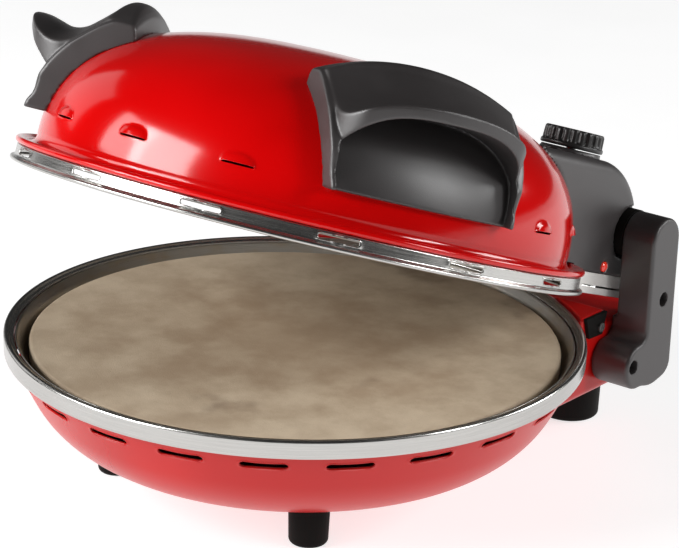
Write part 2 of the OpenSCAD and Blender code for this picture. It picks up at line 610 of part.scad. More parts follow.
module hinge_brackets() color("silver") lid_place() both_sides() difference() {
    union() {
        bar_x(101, 104, hinge_y, hinge_z, bracket_r);
        block([101, hinge_y - bracket_r, lip_z - 1.2], [104, hinge_y + bracket_r, hinge_z]);
        block([86, hinge_y - bracket_r, lip_z - 1.2], [102, hinge_y + bracket_r, lip_z + 0.8]);
    }
    bar_x(95, 110, hinge_y, hinge_z, 6.55);
}
module hinge_bushes() color("goldenrod") lid_place() both_sides() difference() {
    union() {
        bar_x(99.4, 107.8, hinge_y, hinge_z, 6.5);
        bar_x(99, 100.8, hinge_y, hinge_z, 8.4);
    }
    bar_x(95, 112, hinge_y, hinge_z, pin_r + bore_gap);
}
module knob_seat() color("#242020") lid_place() difference() {
    translate([knob_x, knob_y, knob_z - 22]) cylinder(r = knob_r - 0.9, h = 21.6);
    along_x(-housing_half_w, housing_half_w) polygon(housing_outline(0));
    translate([knob_x, knob_y, knob_z - 30]) cylinder(r = 4.6, h = 40);
}
module thermostat() color("silver") lid_place() difference() {
    union() {
        block([knob_x - 14, knob_y - 4, lip_z + 36], [knob_x + 16, knob_y + 20, lip_z + 60]);
        translate([knob_x, knob_y, lip_z + 59]) cylinder(r = 4.4, h = 15);
    }
    translate([knob_x, knob_y, lip_z + 50]) cylinder(r = 3.06, h = 40);
}
module thermostat_bulb() color("goldenrod") lid_place() {
    bar_x(8, 62, tube_a[1], tube_a[2], 2.6);
    wire(tube_a, tube_b, 0.9);
}
module lid_wiring() color("white") lid_place() {
    bent_wire([knob_x - 14.3, 164, lip_z + 46], [40, 176, lip_z + 46], [26, 178, lip_z + 38.6], 1.4);
    bent_wire([knob_x - 14.3, 160, lip_z + 54], [4, 172, lip_z + 56], [-26, 178, lip_z + 38.6], 1.4);
}
module pilot_lamp() color("ivory") lid_place() bar_x(98, 110.6, lamp_p[0], lamp_p[1], 3.1);
module pilot_lens() color("crimson") lid_place() intersection() {
    translate([109.4, lamp_p[0], lamp_p[1]]) sphere(r = 4.4, $fn = 48);
    bar_x(110.8, 114, lamp_p[0], lamp_p[1], 3.1);
}

// ---------- knob ----------
module thermostat_shaft() color("silver") lid_place() translate([knob_x, knob_y, lip_z + 52])
    cylinder(r = 3, h = knob_z + 6 - lip_z - 52);
knob_ribs = 22;
module thermostat_knob() color("#1c1a1a") lid_place() translate([knob_x, knob_y, knob_z]) difference() {
    rotate_extrude() polygon([[0, 0], [knob_r - 1, 0], [knob_r, 0.8], [knob_r, 2.6], [knob_r - 0.6, 3],
                              [knob_r - 0.9, knob_h - 1], [knob_r - 2, knob_h], [knob_r - 5, knob_h + 0.2],
                              [knob_r - 5.4, knob_h - 0.6], [0, knob_h - 0.2]]);
    translate([0, 0, -1]) cylinder(r = 3, h = 7);
    for (i = [0 : knob_ribs - 1]) rotate([0, 0, 360 / knob_ribs * i])
        translate([knob_r + 0.1, 0, 3.2]) cylinder(r = 1.3, h = knob_h, $fn = 24);
}

base_shell();
base_rim_band();
lower_reflector();
baking_stone();
stone_supports();
lower_element();
lower_element_clips();
lower_terminal_block();
thermal_fuse();
hinge_frame();
rear_cover();
rear_cover_screws();
cord_gland();
mains_terminal();
base_wiring();
foot_front_left();
foot_front_right();
foot_rear_left();
foot_rear_right();
foot_screws();
corner_clips();
corner_screws();
arm_left();
arm_right();
hinge_plate_left();
hinge_plate_right();
arm_screws();
hinge_spacers();
hinge_pin_left();
hinge_pin_right();
lid_lead();
lid_dome();
lid_rim_band();
upper_reflector();
insulation_pad();
upper_element();
upper_element_hangers();
upper_terminal_block();
handle_left();
handle_right();
handle_screws();
rear_housing();
lid_rear_tray();
hinge_brackets();
hinge_bushes();
knob_seat();
thermostat();
thermostat_bulb();
lid_wiring();
pilot_lamp();
pilot_lens();
thermostat_shaft();
thermostat_knob();
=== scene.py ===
"""Looks of an electric pizza maker: red base bowl, domed lid, dark moulded handles.

Lengths inside the classes are millimetres in the base's own frame, whose Z axis
is the axis of the baking stone and whose table is at z = 0. The lid's pieces are
worked out on the shut lid and then swung to where it stands open at rest.
"""

import json
import logging
from collections.abc import Callable, Iterator, Sequence
from contextlib import contextmanager
from dataclasses import dataclass
from enum import Enum

import bmesh
import bpy
import numpy as np
from mathutils import Matrix, Vector

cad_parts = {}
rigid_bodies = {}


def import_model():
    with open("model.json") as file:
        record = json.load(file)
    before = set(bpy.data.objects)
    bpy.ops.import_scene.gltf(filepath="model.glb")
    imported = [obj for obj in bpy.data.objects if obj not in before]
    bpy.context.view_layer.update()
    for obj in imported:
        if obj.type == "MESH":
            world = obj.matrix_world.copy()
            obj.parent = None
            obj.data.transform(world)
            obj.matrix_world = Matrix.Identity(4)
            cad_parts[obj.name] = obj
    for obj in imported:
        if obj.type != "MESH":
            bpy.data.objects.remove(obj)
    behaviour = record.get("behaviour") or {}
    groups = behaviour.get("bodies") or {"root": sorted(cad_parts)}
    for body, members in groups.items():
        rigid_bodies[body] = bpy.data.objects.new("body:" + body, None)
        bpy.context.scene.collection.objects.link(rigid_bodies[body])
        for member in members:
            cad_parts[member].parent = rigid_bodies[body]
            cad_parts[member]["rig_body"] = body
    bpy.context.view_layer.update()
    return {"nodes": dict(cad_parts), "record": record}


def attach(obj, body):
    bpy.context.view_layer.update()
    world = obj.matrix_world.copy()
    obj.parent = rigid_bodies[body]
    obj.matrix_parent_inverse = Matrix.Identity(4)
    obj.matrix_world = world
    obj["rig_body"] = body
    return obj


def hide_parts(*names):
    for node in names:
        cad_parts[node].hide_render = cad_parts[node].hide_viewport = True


LOG = logging.getLogger("pizza_maker")
Array = np.ndarray
Field = Callable[[Array, Array, Array], Array]
Colour = tuple[float, float, float]
Spot = tuple[float, float, float]
Pair = tuple[float, float]
Line = tuple[float, ...]
# A millimetre in metres, the metres under which two points are one, and what keeps a division safe.
MM = 0.001
WELD = 2e-6
CLEAR = 1e-9


class Body(Enum):
    """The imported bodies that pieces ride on."""

    BASE = "base"
    LID = "lid"
    KNOB = "knob"


class Placing(Enum):
    """The frame that a piece's points are worked out in."""

    BASE = "base"
    LID = "lid"


@dataclass(frozen=True)
class Hinge:
    """Where the lid's axis runs, and how far the lid stands open at rest."""

    axis_y: float = 184.0
    axis_z: float = 131.5
    open_deg: float = 19.0
    frame_y: float = 19.75

    def to_row(self, points: Array, placing: Placing) -> Array:
        """Carries points in millimetres to the row frame in metres.

        A lid point turns about the hinge axis by the opening angle; every point
        then shifts towards the front by the frame's offset.

        Args:
            points: Points along the last axis.
            placing: The frame they were worked out in.

        Returns:
            The same points in the row frame.
        """
        p = np.asarray(points, float).copy()
        if placing is Placing.LID:
            turn = np.radians(-self.open_deg)
            y = p[..., 1] - self.axis_y
            z = p[..., 2] - self.axis_z
            p[..., 1] = y * np.cos(turn) - z * np.sin(turn) + self.axis_y
            p[..., 2] = y * np.sin(turn) + z * np.cos(turn) + self.axis_z
        p[..., 1] -= self.frame_y
        return p * MM


HINGE = Hinge()
# Middle of the knob, and height of the shut lid's lip.
KNOB_AT: Pair = (78.0, 150.0)
LIP_Z = 93.0
SIDES = ((1, "right"), (-1, "left"))


# ---------------------------------------------------------------- mesh tools
class Skin:
    """Collects grids of points and turns them into one object."""

    def __init__(self) -> None:
        """Starts with no points and no faces."""
        self.points: list[Array] = []
        self.faces: list[Array] = []
        self.count = 0

    def grid(self, points: Array, round_u: bool = False, round_v: bool = False) -> None:
        """Adds a grid of points joined by four-sided faces.

        Args:
            points: Array of shape (n, m, 3).
            round_u: Joins the last row to the first.
            round_v: Joins the last column to the first.
        """
        n, m = points.shape[:2]
        index = np.arange(n * m).reshape(n, m) + self.count
        if round_u:
            index = np.vstack([index, index[:1]])
        if round_v:
            index = np.hstack([index, index[:, :1]])
        quads = np.stack([index[:-1, :-1], index[1:, :-1], index[1:, 1:], index[:-1, 1:]], -1)
        self.points.append(points.reshape(-1, 3))
        self.faces.append(quads.reshape(-1, 4))
        self.count += n * m

    def quads(self, points: Array, faces: Array) -> None:
        """Adds loose points with faces that index them.

        Args:
            points: The points.
            faces: Rows of four indices.
        """
        self.points.append(points.reshape(-1, 3))
        self.faces.append(faces + self.count)
        self.count += len(points.reshape(-1, 3))

    def build(self, name: str, placing: Placing, sharp_deg: float = 40.0) -> bpy.types.Object:
        """Makes the object, with doubles merged and faces turned outwards.

        Args:
            name: The piece's name.
            placing: The frame that the points were worked out in.
            sharp_deg: Edges sharper than this stay sharp when shaded.

        Returns:
            The new object, at the origin.
        """
        mesh = bpy.data.meshes.new(name)
        mesh.from_pydata(HINGE.to_row(np.vstack(self.points), placing), [], np.vstack(self.faces).tolist())
        with reworked(mesh, sharp_deg) as work:
            bmesh.ops.dissolve_degenerate(work, edges=work.edges, dist=WELD)
            bmesh.ops.recalc_face_normals(work, faces=work.faces)
        return shown(name, mesh)


@contextmanager
def reworked(mesh: bpy.types.Mesh, sharp_deg: float) -> Iterator[bmesh.types.BMesh]:
    """Opens a mesh with its doubles merged, and shades it by angle when done.

    Args:
        mesh: The mesh that is worked on.
        sharp_deg: Edges sharper than this stay sharp when shaded.

    Yields:
        The open mesh.
    """
    work = bmesh.new()
    work.from_mesh(mesh)
    bmesh.ops.remove_doubles(work, verts=work.verts, dist=WELD)
    yield work
    work.to_mesh(mesh)
    work.free()
    mesh.shade_smooth()
    mesh.set_sharp_from_angle(angle=float(np.radians(sharp_deg)))


def shown(name: str, data: bpy.types.ID) -> bpy.types.Object:
    """Puts an object of the data into the scene.

    Args:
        name: The object's name.
        data: Its mesh, light or camera.

    Returns:
        The new object.
    """
    made = bpy.data.objects.new(name, data)
    bpy.context.scene.collection.objects.link(made)
    return made


def quadratic(start: Array, corner: Array, end: Array, steps: int) -> Array:
    """Points on the quadratic arc that leaves start and reaches end along lines to the corner."""
    t = np.linspace(0, 1, steps)[:, None]
    return (1 - t) ** 2 * start + 2 * t * (1 - t) * corner + t**2 * end


@dataclass(frozen=True)
class Profile:
    """A line of (radius, height) points that is carried round the stone's axis."""

    points: Array

    @classmethod
    def through(cls, corners: Sequence[Spot]) -> "Profile":
        """A line through corners, each rounded by its own fillet.

        Each corner (radius, height, fillet) is replaced by a quadratic arc that
        starts and ends one fillet length away from it along its two sides.

        Args:
            corners: Radius, height and fillet length of each corner.

        Returns:
            The profile.
        """
        c = np.array(corners, float)
        made = [c[:1, :2]]
        for before, here, after in zip(c[:-2, :2], c[1:-1], c[2:, :2]):
            p, fillet = here[:2], here[2]
            a, b = (p + (far - p) / np.linalg.norm(far - p) * fillet for far in (before, after))
            made.append(quadratic(a, p, b, 6) if fillet > 0 else p[None])
        made.append(c[-1:, :2])
        return cls(np.vstack(made))

    def length(self) -> Array:
        """Distance along the line at each point."""
        step = np.hypot(*np.diff(self.points, axis=0).T)
        return np.concatenate([[0.0], np.cumsum(step)])

    def at(self, v: Array, lift: Array | float = 0.0) -> tuple[Array, Array]:
        """Radius and height at distance v along the line.

        Args:
            v: Distances along the line.
            lift: How far the point moves along the line's right-hand normal.

        Returns:
            Radius and height.
        """
        s = self.length()
        reach = 0.4
        before, here, after = (np.array([np.interp(v + d, s, line) for line in self.points.T])
                               for d in (-reach, 0.0, reach))
        tr, tz = after - before
        size = np.hypot(tr, tz) + CLEAR
        return here[0] + lift * tz / size, here[1] - lift * tr / size


def mirror(side: int) -> Callable[[Array], Array]:
    """Carries points to the right, 1, or the left, -1."""
    return lambda points: points * np.array([side, 1.0, 1.0])


def around(r: Array, z: Array, bearing: Array) -> Array:
    """Points at radius r and height z, at a bearing from the front towards +X."""
    return np.stack(np.broadcast_arrays(r * np.sin(bearing), -r * np.cos(bearing), z), -1)


@dataclass(frozen=True)
class Slots:
    """A ring of holes with round ends, pressed into a turned sheet.

    Sectors counts the places for holes, of which those kept are pressed, numbered
    from the one at the phase. The holes' strip of the sheet runs from v_low to
    v_high along the profile and their middle lies at v_mid. The radius turns
    millimetres along a hole into bearing. Lip and scoop are how far the edge and
    the hood over it stand out.
    """

    sectors: int
    phase_deg: float
    kept: frozenset[int]
    v_low: float
    v_high: float
    v_mid: float
    half_l: float
    half_h: float
    radius: float
    columns: int
    rings: int = 9
    lip: float = 0.0
    scoop: float = 0.0
    scoop_l: float = 11.0
    scoop_h: float = 7.5

    def edge_of(self, u: Array, w: Array) -> tuple[Array, Array]:
        """The point on the hole's edge that faces the point (u, w) of a unit square.

        The nearest point of the hole's middle line is stepped away from, towards
        the square's point, by the hole's half height.

        Args:
            u: From -1 to 1 along the hole.
            w: From -1 to 1 across it.

        Returns:
            Millimetres along and across the hole.
        """
        core = np.clip(u * self.half_l, -(self.half_l - self.half_h), self.half_l - self.half_h)
        dx = u * self.half_l - core
        dy = w * self.half_h
        size = np.hypot(dx, dy) + CLEAR
        return core + dx / size * self.half_h, dy / size * self.half_h

    def raised(self, x: Array, y: Array, gap: Array) -> Array:
        """How far the sheet stands out near a hole.

        The rolled edge falls off as a bell with the distance from the hole; the
        scoop is half an ellipsoid that stands on the upper edge of the hole.

        Args:
            x: Millimetres along the hole from its middle.
            y: Millimetres across it.
            gap: Millimetres from its edge.

        Returns:
            Millimetres outwards.
        """
        roll_w = 0.9
        rolled = self.lip * np.exp(-((gap / roll_w) ** 2))
        inside = 1 - (x / self.scoop_l) ** 2 - (np.maximum(y, 0) / self.scoop_h) ** 2
        pressed = self.scoop * np.sqrt(np.clip(inside, 0, 1)) * (y > 0)
        return rolled + pressed


def turned_sheet(skin: Skin, profile: Profile, slots: Slots, rows: Array) -> None:
    """Carries a profile right round, with one ring of holes in it.

    Outside the strip that holds the slots the sheet is a plain grid of bearing by
    distance along the profile. Inside it each sector is a grid whose first ring
    is the hole's edge and whose last is the sector's border. The rings between
    them are mixed with a weight that grows as the power 1.7.

    Args:
        skin: Where the grids go.
        profile: The sheet's line.
        slots: The ring of holes.
        rows: Distances along the profile for the plain parts.
    """
    pitch = 2 * np.pi / slots.sectors
    middles = np.radians(slots.phase_deg) + np.arange(slots.sectors) * pitch
    count = slots.sectors * slots.columns
    bearing = middles[0] + (np.arange(count) / slots.columns - 0.5) * pitch
    for part in (rows[rows <= slots.v_low], rows[rows >= slots.v_high]):
        if len(part) > 1:
            r, z = profile.at(part)
            skin.grid(around(r[:, None], z[:, None], bearing[None]), round_v=True)
    tall = max(4, slots.columns // 2)
    across = np.linspace(-1, 1, slots.columns + 1)
    up = np.linspace(-1, 1, tall + 1)
    u = np.concatenate([across[:-1], np.ones(tall), across[:0:-1], -np.ones(tall)])
    w = np.concatenate([-np.ones(slots.columns), up[:-1], np.ones(slots.columns), up[:0:-1]])
    ex, ey = slots.edge_of(u, w)
    bx = u * pitch / 2 * slots.radius
    half_v = (slots.v_high - slots.v_low) / 2
    by = (slots.v_low + slots.v_high) / 2 - slots.v_mid + w * half_v
    weight = (np.linspace(0, 1, slots.rings) ** 1.7)[:, None]
    x = ex * (1 - weight) + bx * weight
    y = ey * (1 - weight) + by * weight
    lift = slots.raised(x, y, np.hypot(x - ex, y - ey)) * (1 - weight**3)
    plain_v = slots.v_low + half_v + up[:, None] * half_v
    for k, middle in enumerate(middles):
        turn = (k + slots.sectors // 2) % slots.sectors - slots.sectors // 2
        if turn in slots.kept:
            r, z = profile.at(y + slots.v_mid, lift)
            skin.grid(around(r, z, middle + x / slots.radius), round_v=True)
        else:
            r, z = profile.at(np.broadcast_to(plain_v, (tall + 1, slots.columns + 1)))
            skin.grid(around(r, z, middle + across[None] * pitch / 2))


def pierced(name: str, profile: Profile, slots: Slots, rows: Array, placing: Placing, sharp_deg: float,
            thickness: float) -> bpy.types.Object:
    """A turned sheet with a ring of holes, as a piece with a wall.

    Args:
        name: The piece's name.
        profile: The sheet's line.
        slots: The ring of holes.
        rows: Distances along the profile for the plain parts.
        placing: The piece's frame.
        sharp_deg: Edges sharper than this stay sharp when shaded.
        thickness: The sheet's gauge in millimetres.

    Returns:
        The new object.
    """
    skin = Skin()
    turned_sheet(skin, profile, slots, rows)
    return walled(skin.build(name, placing, sharp_deg), thickness)


def turned_piece(name: str, profile: Profile, placing: Placing, columns: int,
                 closed: bool = False) -> bpy.types.Object:
    """A profile carried right round the stone's axis.

    Args:
        name: The piece's name.
        profile: The line that is carried round.
        placing: The piece's frame.
        columns: Steps in the full turn.
        closed: Joins the line's end to its start.

    Returns:
        The new object.
    """
    skin = Skin()
    bearing = np.arange(columns) / columns * 2 * np.pi
    r, z = profile.points[:, 0], profile.points[:, 1]
    skin.grid(around(r[:, None], z[:, None], bearing[None]), round_u=closed, round_v=True)
    return skin.build(name, placing)


# ------------------------------------------------------ moulded solid shapes
def both(a: Array, b: Array, radius: float = 0.0) -> Array:
    """Where both shapes are, with the edge between them rounded.

    Args:
        a: Distance to one shape.
        b: Distance to the other.
        radius: Radius of the rounding.

    Returns:
        Distance to what they share.
    """
    if radius <= 0:
        return np.maximum(a, b)
    out = np.hypot(np.maximum(a + radius, 0), np.maximum(b + radius, 0))
    return np.minimum(np.maximum(a, b), -radius) + out


def either(a: Array, b: Array, radius: float = 0.0) -> Array:
    """Where either shape is, with the corner between them filled."""
    return -both(-a, -b, radius)


def round_box(x: Array, y: Array, half_x: float, half_y: float, radius: Array | float) -> Array:
    """Distance to a rectangle about the origin with rounded corners.

    Args:
        x: Place along it.
        y: Place across it.
        half_x: Half its length.
        half_y: Half its width.
        radius: Radius of its corners.

    Returns:
        Signed distance.
    """
    qx = np.abs(x) - half_x + radius
    qy = np.abs(y) - half_y + radius
    return np.minimum(np.maximum(qx, qy), 0) + np.hypot(np.maximum(qx, 0), np.maximum(qy, 0)) - radius


def soft_line(at: Array, x: Sequence[float], y: Sequence[float]) -> Array:
    """A smooth line through points: cubic pieces that share their slopes.

    Args:
        at: Where it is read.
        x: Where the points lie.
        y: Their values.

    Returns:
        The values there.
    """
    xs, ys = np.array(x, float), np.array(y, float)
    slope = np.gradient(ys, xs)
    i = np.clip(np.searchsorted(xs, at) - 1, 0, len(xs) - 2)
    h = xs[i + 1] - xs[i]
    t = np.clip((at - xs[i]) / h, 0, 1)
    return ((2 * t**3 - 3 * t**2 + 1) * ys[i] + (t**3 - 2 * t**2 + t) * h * slope[i]
            + (3 * t**2 - 2 * t**3) * ys[i + 1] + (t**3 - t**2) * h * slope[i + 1])


def moulded(name: str, field: Field, low: Spot, high: Spot, step: float, placing: Placing,
            to_frame: Callable[[Array], Array] = np.asarray, sharp_deg: float = 50.0) -> bpy.types.Object:
    """The skin where a field of distances is zero.

    The field is sampled on a grid. Each cell that the skin crosses gets one point,
    the mean of where its edges are crossed, and is then stepped three times down
    the field's slope onto the skin; the four cells round a crossed edge share a
    face.

    Args:
        name: The piece's name.
        field: Signed distance in millimetres, negative inside.
        low: Lowest corner of the grid.
        high: Highest corner of the grid.
        step: Grid spacing.
        placing: The piece's frame.
        to_frame: Carries the field's own axes to the piece's frame.
        sharp_deg: Edges sharper than this stay sharp when shaded.

    Returns:
        The new object.
    """
    axes = [np.arange(a, b + step, step) for a, b in zip(low, high)]
    grid = np.meshgrid(*axes, indexing="ij")
    f = field(*grid)
    size = np.array(f.shape) - 1
    total = np.zeros((*size, 3))
    hits = np.zeros(size)
    crossed = []
    for d in range(3):
        fa = np.take(f, range(size[d]), axis=d)
        fb = np.take(f, range(1, size[d] + 1), axis=d)
        cross = (fa < 0) != (fb < 0)
        i = np.argwhere(cross)
        t = fa[cross] / (fa[cross] - fb[cross])
        p = np.array(low) + i * step
        p[:, d] += t * step
        e, g = (d + 1) % 3, (d + 2) % 3
        cells = []
        fits = (i[:, e] > 0) & (i[:, g] > 0) & (i[:, e] < size[e]) & (i[:, g] < size[g])
        i, p, out = i[fits], p[fits], (fa[cross] < 0)[fits]
        for de, dg in ((-1, -1), (0, -1), (0, 0), (-1, 0)):
            c = i.copy()
            c[:, e] += de
            c[:, g] += dg
            np.add.at(total, tuple(c.T), p)
            np.add.at(hits, tuple(c.T), 1)
            cells.append(np.ravel_multi_index(tuple(c.T), size))
        quad = np.stack(cells, 1)
        crossed.append(np.where(out[:, None], quad, quad[:, ::-1]))
    used = hits.ravel() > 0
    number = np.cumsum(used) - 1
    p = total.reshape(-1, 3)[used] / hits.ravel()[used, None]
    reach, least = 0.05, 0.05
    for _ in range(3):
        ends = [(field(*(p + d).T), field(*(p - d).T)) for d in np.eye(3) * reach]
        slope = np.stack([after - before for after, before in ends], 1) / (2 * reach)
        steep = np.maximum((slope**2).sum(1), least)
        p = p - np.clip(field(*p.T) / steep, -step, step)[:, None] * slope
    skin = Skin()
    skin.quads(to_frame(p), number[np.vstack(crossed)])
    return skin.build(name, placing, sharp_deg)


def walled(piece: bpy.types.Object, thickness: float) -> bpy.types.Object:
    """Gives a sheet its wall on its inner side.

    Args:
        piece: The sheet.
        thickness: Its gauge in millimetres.

    Returns:
        The same object.
    """
    wall = piece.modifiers.new("wall", "SOLIDIFY")
    wall.thickness = thickness * MM
    wall.offset = -1.0
    wall.use_even_offset = False
    return piece


# ------------------------------------------------------------ shader writing
Socketish = "Num | float | Line"


class Num:
    """A shader number or vector that takes part in Python expressions."""

    def __init__(self, net: "Net", socket: bpy.types.NodeSocket) -> None:
        """Wraps a socket of a material's net."""
        self.net = net
        self.socket = socket

    def _math(self, operation: str, *values: Socketish) -> "Num":
        """One Math node."""
        return self.net.add("ShaderNodeMath", {"operation": operation}, dict(enumerate(values)))

    def __add__(self, other: Socketish) -> "Num":
        """self + other."""
        return self._math("ADD", self, other)

    def __sub__(self, other: Socketish) -> "Num":
        """self - other."""
        return self._math("SUBTRACT", self, other)

    def __rsub__(self, other: Socketish) -> "Num":
        """other - self."""
        return self._math("SUBTRACT", other, self)

    def __mul__(self, other: Socketish) -> "Num":
        """self * other."""
        return self._math("MULTIPLY", self, other)

    def __pow__(self, other: Socketish) -> "Num":
        """self to the power of other."""
        return self._math("POWER", self, other)

    def wave(self) -> "Num":
        """Sine of self."""
        return self._math("SINE", self)

    def size(self) -> "Num":
        """Absolute value of self."""
        return self._math("ABSOLUTE", self)

    def bearing_to(self, other: Socketish) -> "Num":
        """Angle whose tangent is self over other."""
        return self._math("ARCTAN2", self, other)

    def fade(self, low: float, high: float, start: float = 0.0, end: float = 1.0) -> "Num":
        """Goes smoothly from start to end as self goes from low to high."""
        return self.net.add("ShaderNodeMapRange", {"interpolation_type": "SMOOTHSTEP"},
                            {0: self, 1: low, 2: high, 3: start, 4: end})


class Net:
    """The nodes of one material."""

    def __init__(self, name: str) -> None:
        """Starts a material that holds only its shader and its output.

        Args:
            name: The material's name.
        """
        self.material = bpy.data.materials.new(name)
        self.material.use_nodes = True
        self.tree = self.material.node_tree
        self.tree.nodes.clear()
        self.shader = self.tree.nodes.new("ShaderNodeBsdfPrincipled")
        out = self.tree.nodes.new("ShaderNodeOutputMaterial")
        self.tree.links.new(self.shader.outputs["BSDF"], out.inputs["Surface"])

    def join(self, value: Socketish, socket: bpy.types.NodeSocket) -> None:
        """Sets a socket to a value or links it.

        Args:
            value: A number, a colour or what another node gives.
            socket: The socket.
        """
        if isinstance(value, Num):
            self.tree.links.new(value.socket, socket)
        else:
            socket.default_value = value

    def add(self, kind: str, settings: dict[str, object] | None = None,
            sockets: dict[int | str, Socketish] | None = None, out: int | str = 0) -> Num:
        """Adds one node.

        Args:
            kind: The node's type.
            settings: Its properties, set before its sockets.
            sockets: Values or links for its inputs, by number or name.
            out: The output that is returned.

        Returns:
            The chosen output.
        """
        node = self.tree.nodes.new(kind)
        for key, value in (settings or {}).items():
            setattr(node, key, value)
        for key, value in (sockets or {}).items():
            self.join(value, node.inputs[key])
        return Num(self, node.outputs[out])

    def place(self, lid: bool = False) -> Num:
        """The point's place in the base's own frame, or in the shut lid's frame.

        The lid's turn at rest is undone about the object's origin, and the shift is
        what then brings the hinge axis back to its own place.

        Args:
            lid: Whether the shut lid's frame is wanted.

        Returns:
            The place in metres.
        """
        here = self.add("ShaderNodeTexCoord", out="Object")
        turn = float(np.radians(HINGE.open_deg)) if lid else 0.0
        c, s = float(np.cos(turn)), float(np.sin(turn))
        y, z = HINGE.axis_y - HINGE.frame_y, HINGE.axis_z
        home = (0.0, (HINGE.axis_y - (c * y - s * z)) * MM, (HINGE.axis_z - (s * y + c * z)) * MM)
        return self.add("ShaderNodeMapping", {"vector_type": "POINT"},
                        {"Vector": here, "Location": home, "Rotation": (turn, 0.0, 0.0)})

    def axes(self, vector: Num) -> tuple[Num, ...]:
        """The three numbers of a vector."""
        node = self.add("ShaderNodeSeparateXYZ", sockets={0: vector}).socket.node
        return tuple(Num(self, number) for number in node.outputs)

    def vector(self, x: Socketish, y: Socketish, z: Socketish) -> Num:
        """A vector from three numbers."""
        return self.add("ShaderNodeCombineXYZ", sockets={0: x, 1: y, 2: z})

    def stretched(self, where: Num, *by: float) -> Num:
        """A place with each of its axes scaled on its own."""
        return self.vector(*[axis * k for axis, k in zip(self.axes(where), by)])

    def noise(self, where: Num, scale: float, detail: float = 3.0, rough: float = 0.55) -> Num:
        """Cloudy noise from 0 to 1."""
        return self.add("ShaderNodeTexNoise", None,
                        {"Vector": where, "Scale": scale, "Detail": detail, "Roughness": rough})

    def cells(self, where: Num, scale: float) -> Num:
        """Distance to the nearest of many scattered points."""
        return self.add("ShaderNodeTexVoronoi", None, {"Vector": where, "Scale": scale})

    def mix(self, factor: Socketish, first: Socketish, second: Socketish) -> Num:
        """A colour between two others.

        Args:
            factor: 0 for the first, 1 for the second.
            first: One colour.
            second: The other colour.

        Returns:
            The mixed colour.
        """
        values = [v if isinstance(v, Num) else (*v, 1.0) for v in (first, second)]
        sockets = {0: factor, 6: values[0], 7: values[1]}
        return self.add("ShaderNodeMix", {"data_type": "RGBA"}, sockets, out=2)

    def bump(self, height: Num, distance: float, strength: float = 1.0) -> None:
        """Feeds the shader's normal with a height in which 1 is the distance in mm.

        Args:
            height: The height.
            distance: Millimetres for a height of 1.
            strength: How much of the bump is kept.
        """
        made = self.add("ShaderNodeBump", None,
                        {"Height": height, "Distance": distance * MM, "Strength": strength})
        self.join(made, self.shader.inputs["Normal"])

    def surface(self, **values: Socketish) -> bpy.types.Material:
        """Sets the shader's sockets, with underscores for blanks, and returns the material.

        Args:
            values: Values or links by socket.

        Returns:
            The material.
        """
        for key, value in values.items():
            name = key.replace("_", " ").title().replace("Ior", "IOR")
            if isinstance(value, tuple) and len(value) == 3:
                value = (*value, 1.0)
            self.join(value, self.shader.inputs[name])
        return self.material


# -------------------------------------------------------------------- finishes
def scaled(colour: Colour, by: float, plus: float = 0.0) -> Colour:
    """A colour made darker or lighter."""
    return tuple(c * by + plus for c in colour)


@dataclass(frozen=True)
class Enamel:
    """Baked red enamel over pressed steel, with faint orange peel and dust."""

    name: str
    deep: Colour
    bright: Colour
    roughness: float
    coat: float
    lid: bool
    peel: float = 0.012
    shine: float = 0.5

    def make(self) -> bpy.types.Material:
        """Builds the material.

        Returns:
            The material.
        """
        net = Net(self.name)
        at = net.place(self.lid)
        cloud = net.noise(at, 9.0, 2.0)
        fine = net.noise(at, 620.0, 2.0)
        peel = net.noise(at, 240.0, 1.5)
        dust = net.cells(at, 330.0).fade(0.05, 0.0)
        speck = dust * net.noise(at, 38.0, 1.0).fade(0.56, 0.72)
        colour = net.mix(cloud.fade(0.35, 0.7), self.deep, self.bright)
        colour = net.mix(speck * 0.10, colour, (0.95, 0.72, 0.68))
        net.bump(peel + fine * 0.35, self.peel, 0.5)
        rough = cloud.fade(0.3, 0.75, self.roughness * 0.85, self.roughness * 1.2) + speck * 0.25
        return net.surface(base_color=colour, roughness=rough, coat_weight=self.coat, coat_roughness=0.03,
                           coat_ior=1.5, specular_ior_level=self.shine)


@dataclass(frozen=True)
class BrushedSteel:
    """Rolled steel brushed round the stone's axis, with a little handling wear."""

    name: str
    colour: Colour
    roughness: float
    lid: bool
    grain: float = 0.006
    warm: float = 0.0

    def make(self) -> bpy.types.Material:
        """Builds the material: streaks are long in bearing and short in radius and height.

        Returns:
            The material.
        """
        net = Net(self.name)
        x, y, z = net.axes(net.place(self.lid))
        bearing = x.bearing_to(0.0 - y)
        radius = (x * x + y * y) ** 0.5
        streaks = net.noise(net.vector(bearing * 1.6, radius * 900.0, z * 900.0), 3.0, 4.0, 0.7)
        smear = net.noise(net.vector(bearing * 9.0, radius * 40.0, z * 160.0), 1.0, 2.0)
        tint = net.mix(streaks.fade(0.3, 0.7), scaled(self.colour, 0.86), self.colour)
        if self.warm:
            tint = net.mix(smear.fade(0.45, 0.8) * self.warm, tint, (0.46, 0.34, 0.20))
        net.bump(streaks, self.grain, 0.6)
        rough = streaks.fade(0.25, 0.75, self.roughness * 0.8, self.roughness * 1.25) + smear * 0.05
        return net.surface(base_color=tint, metallic=1.0, roughness=rough)


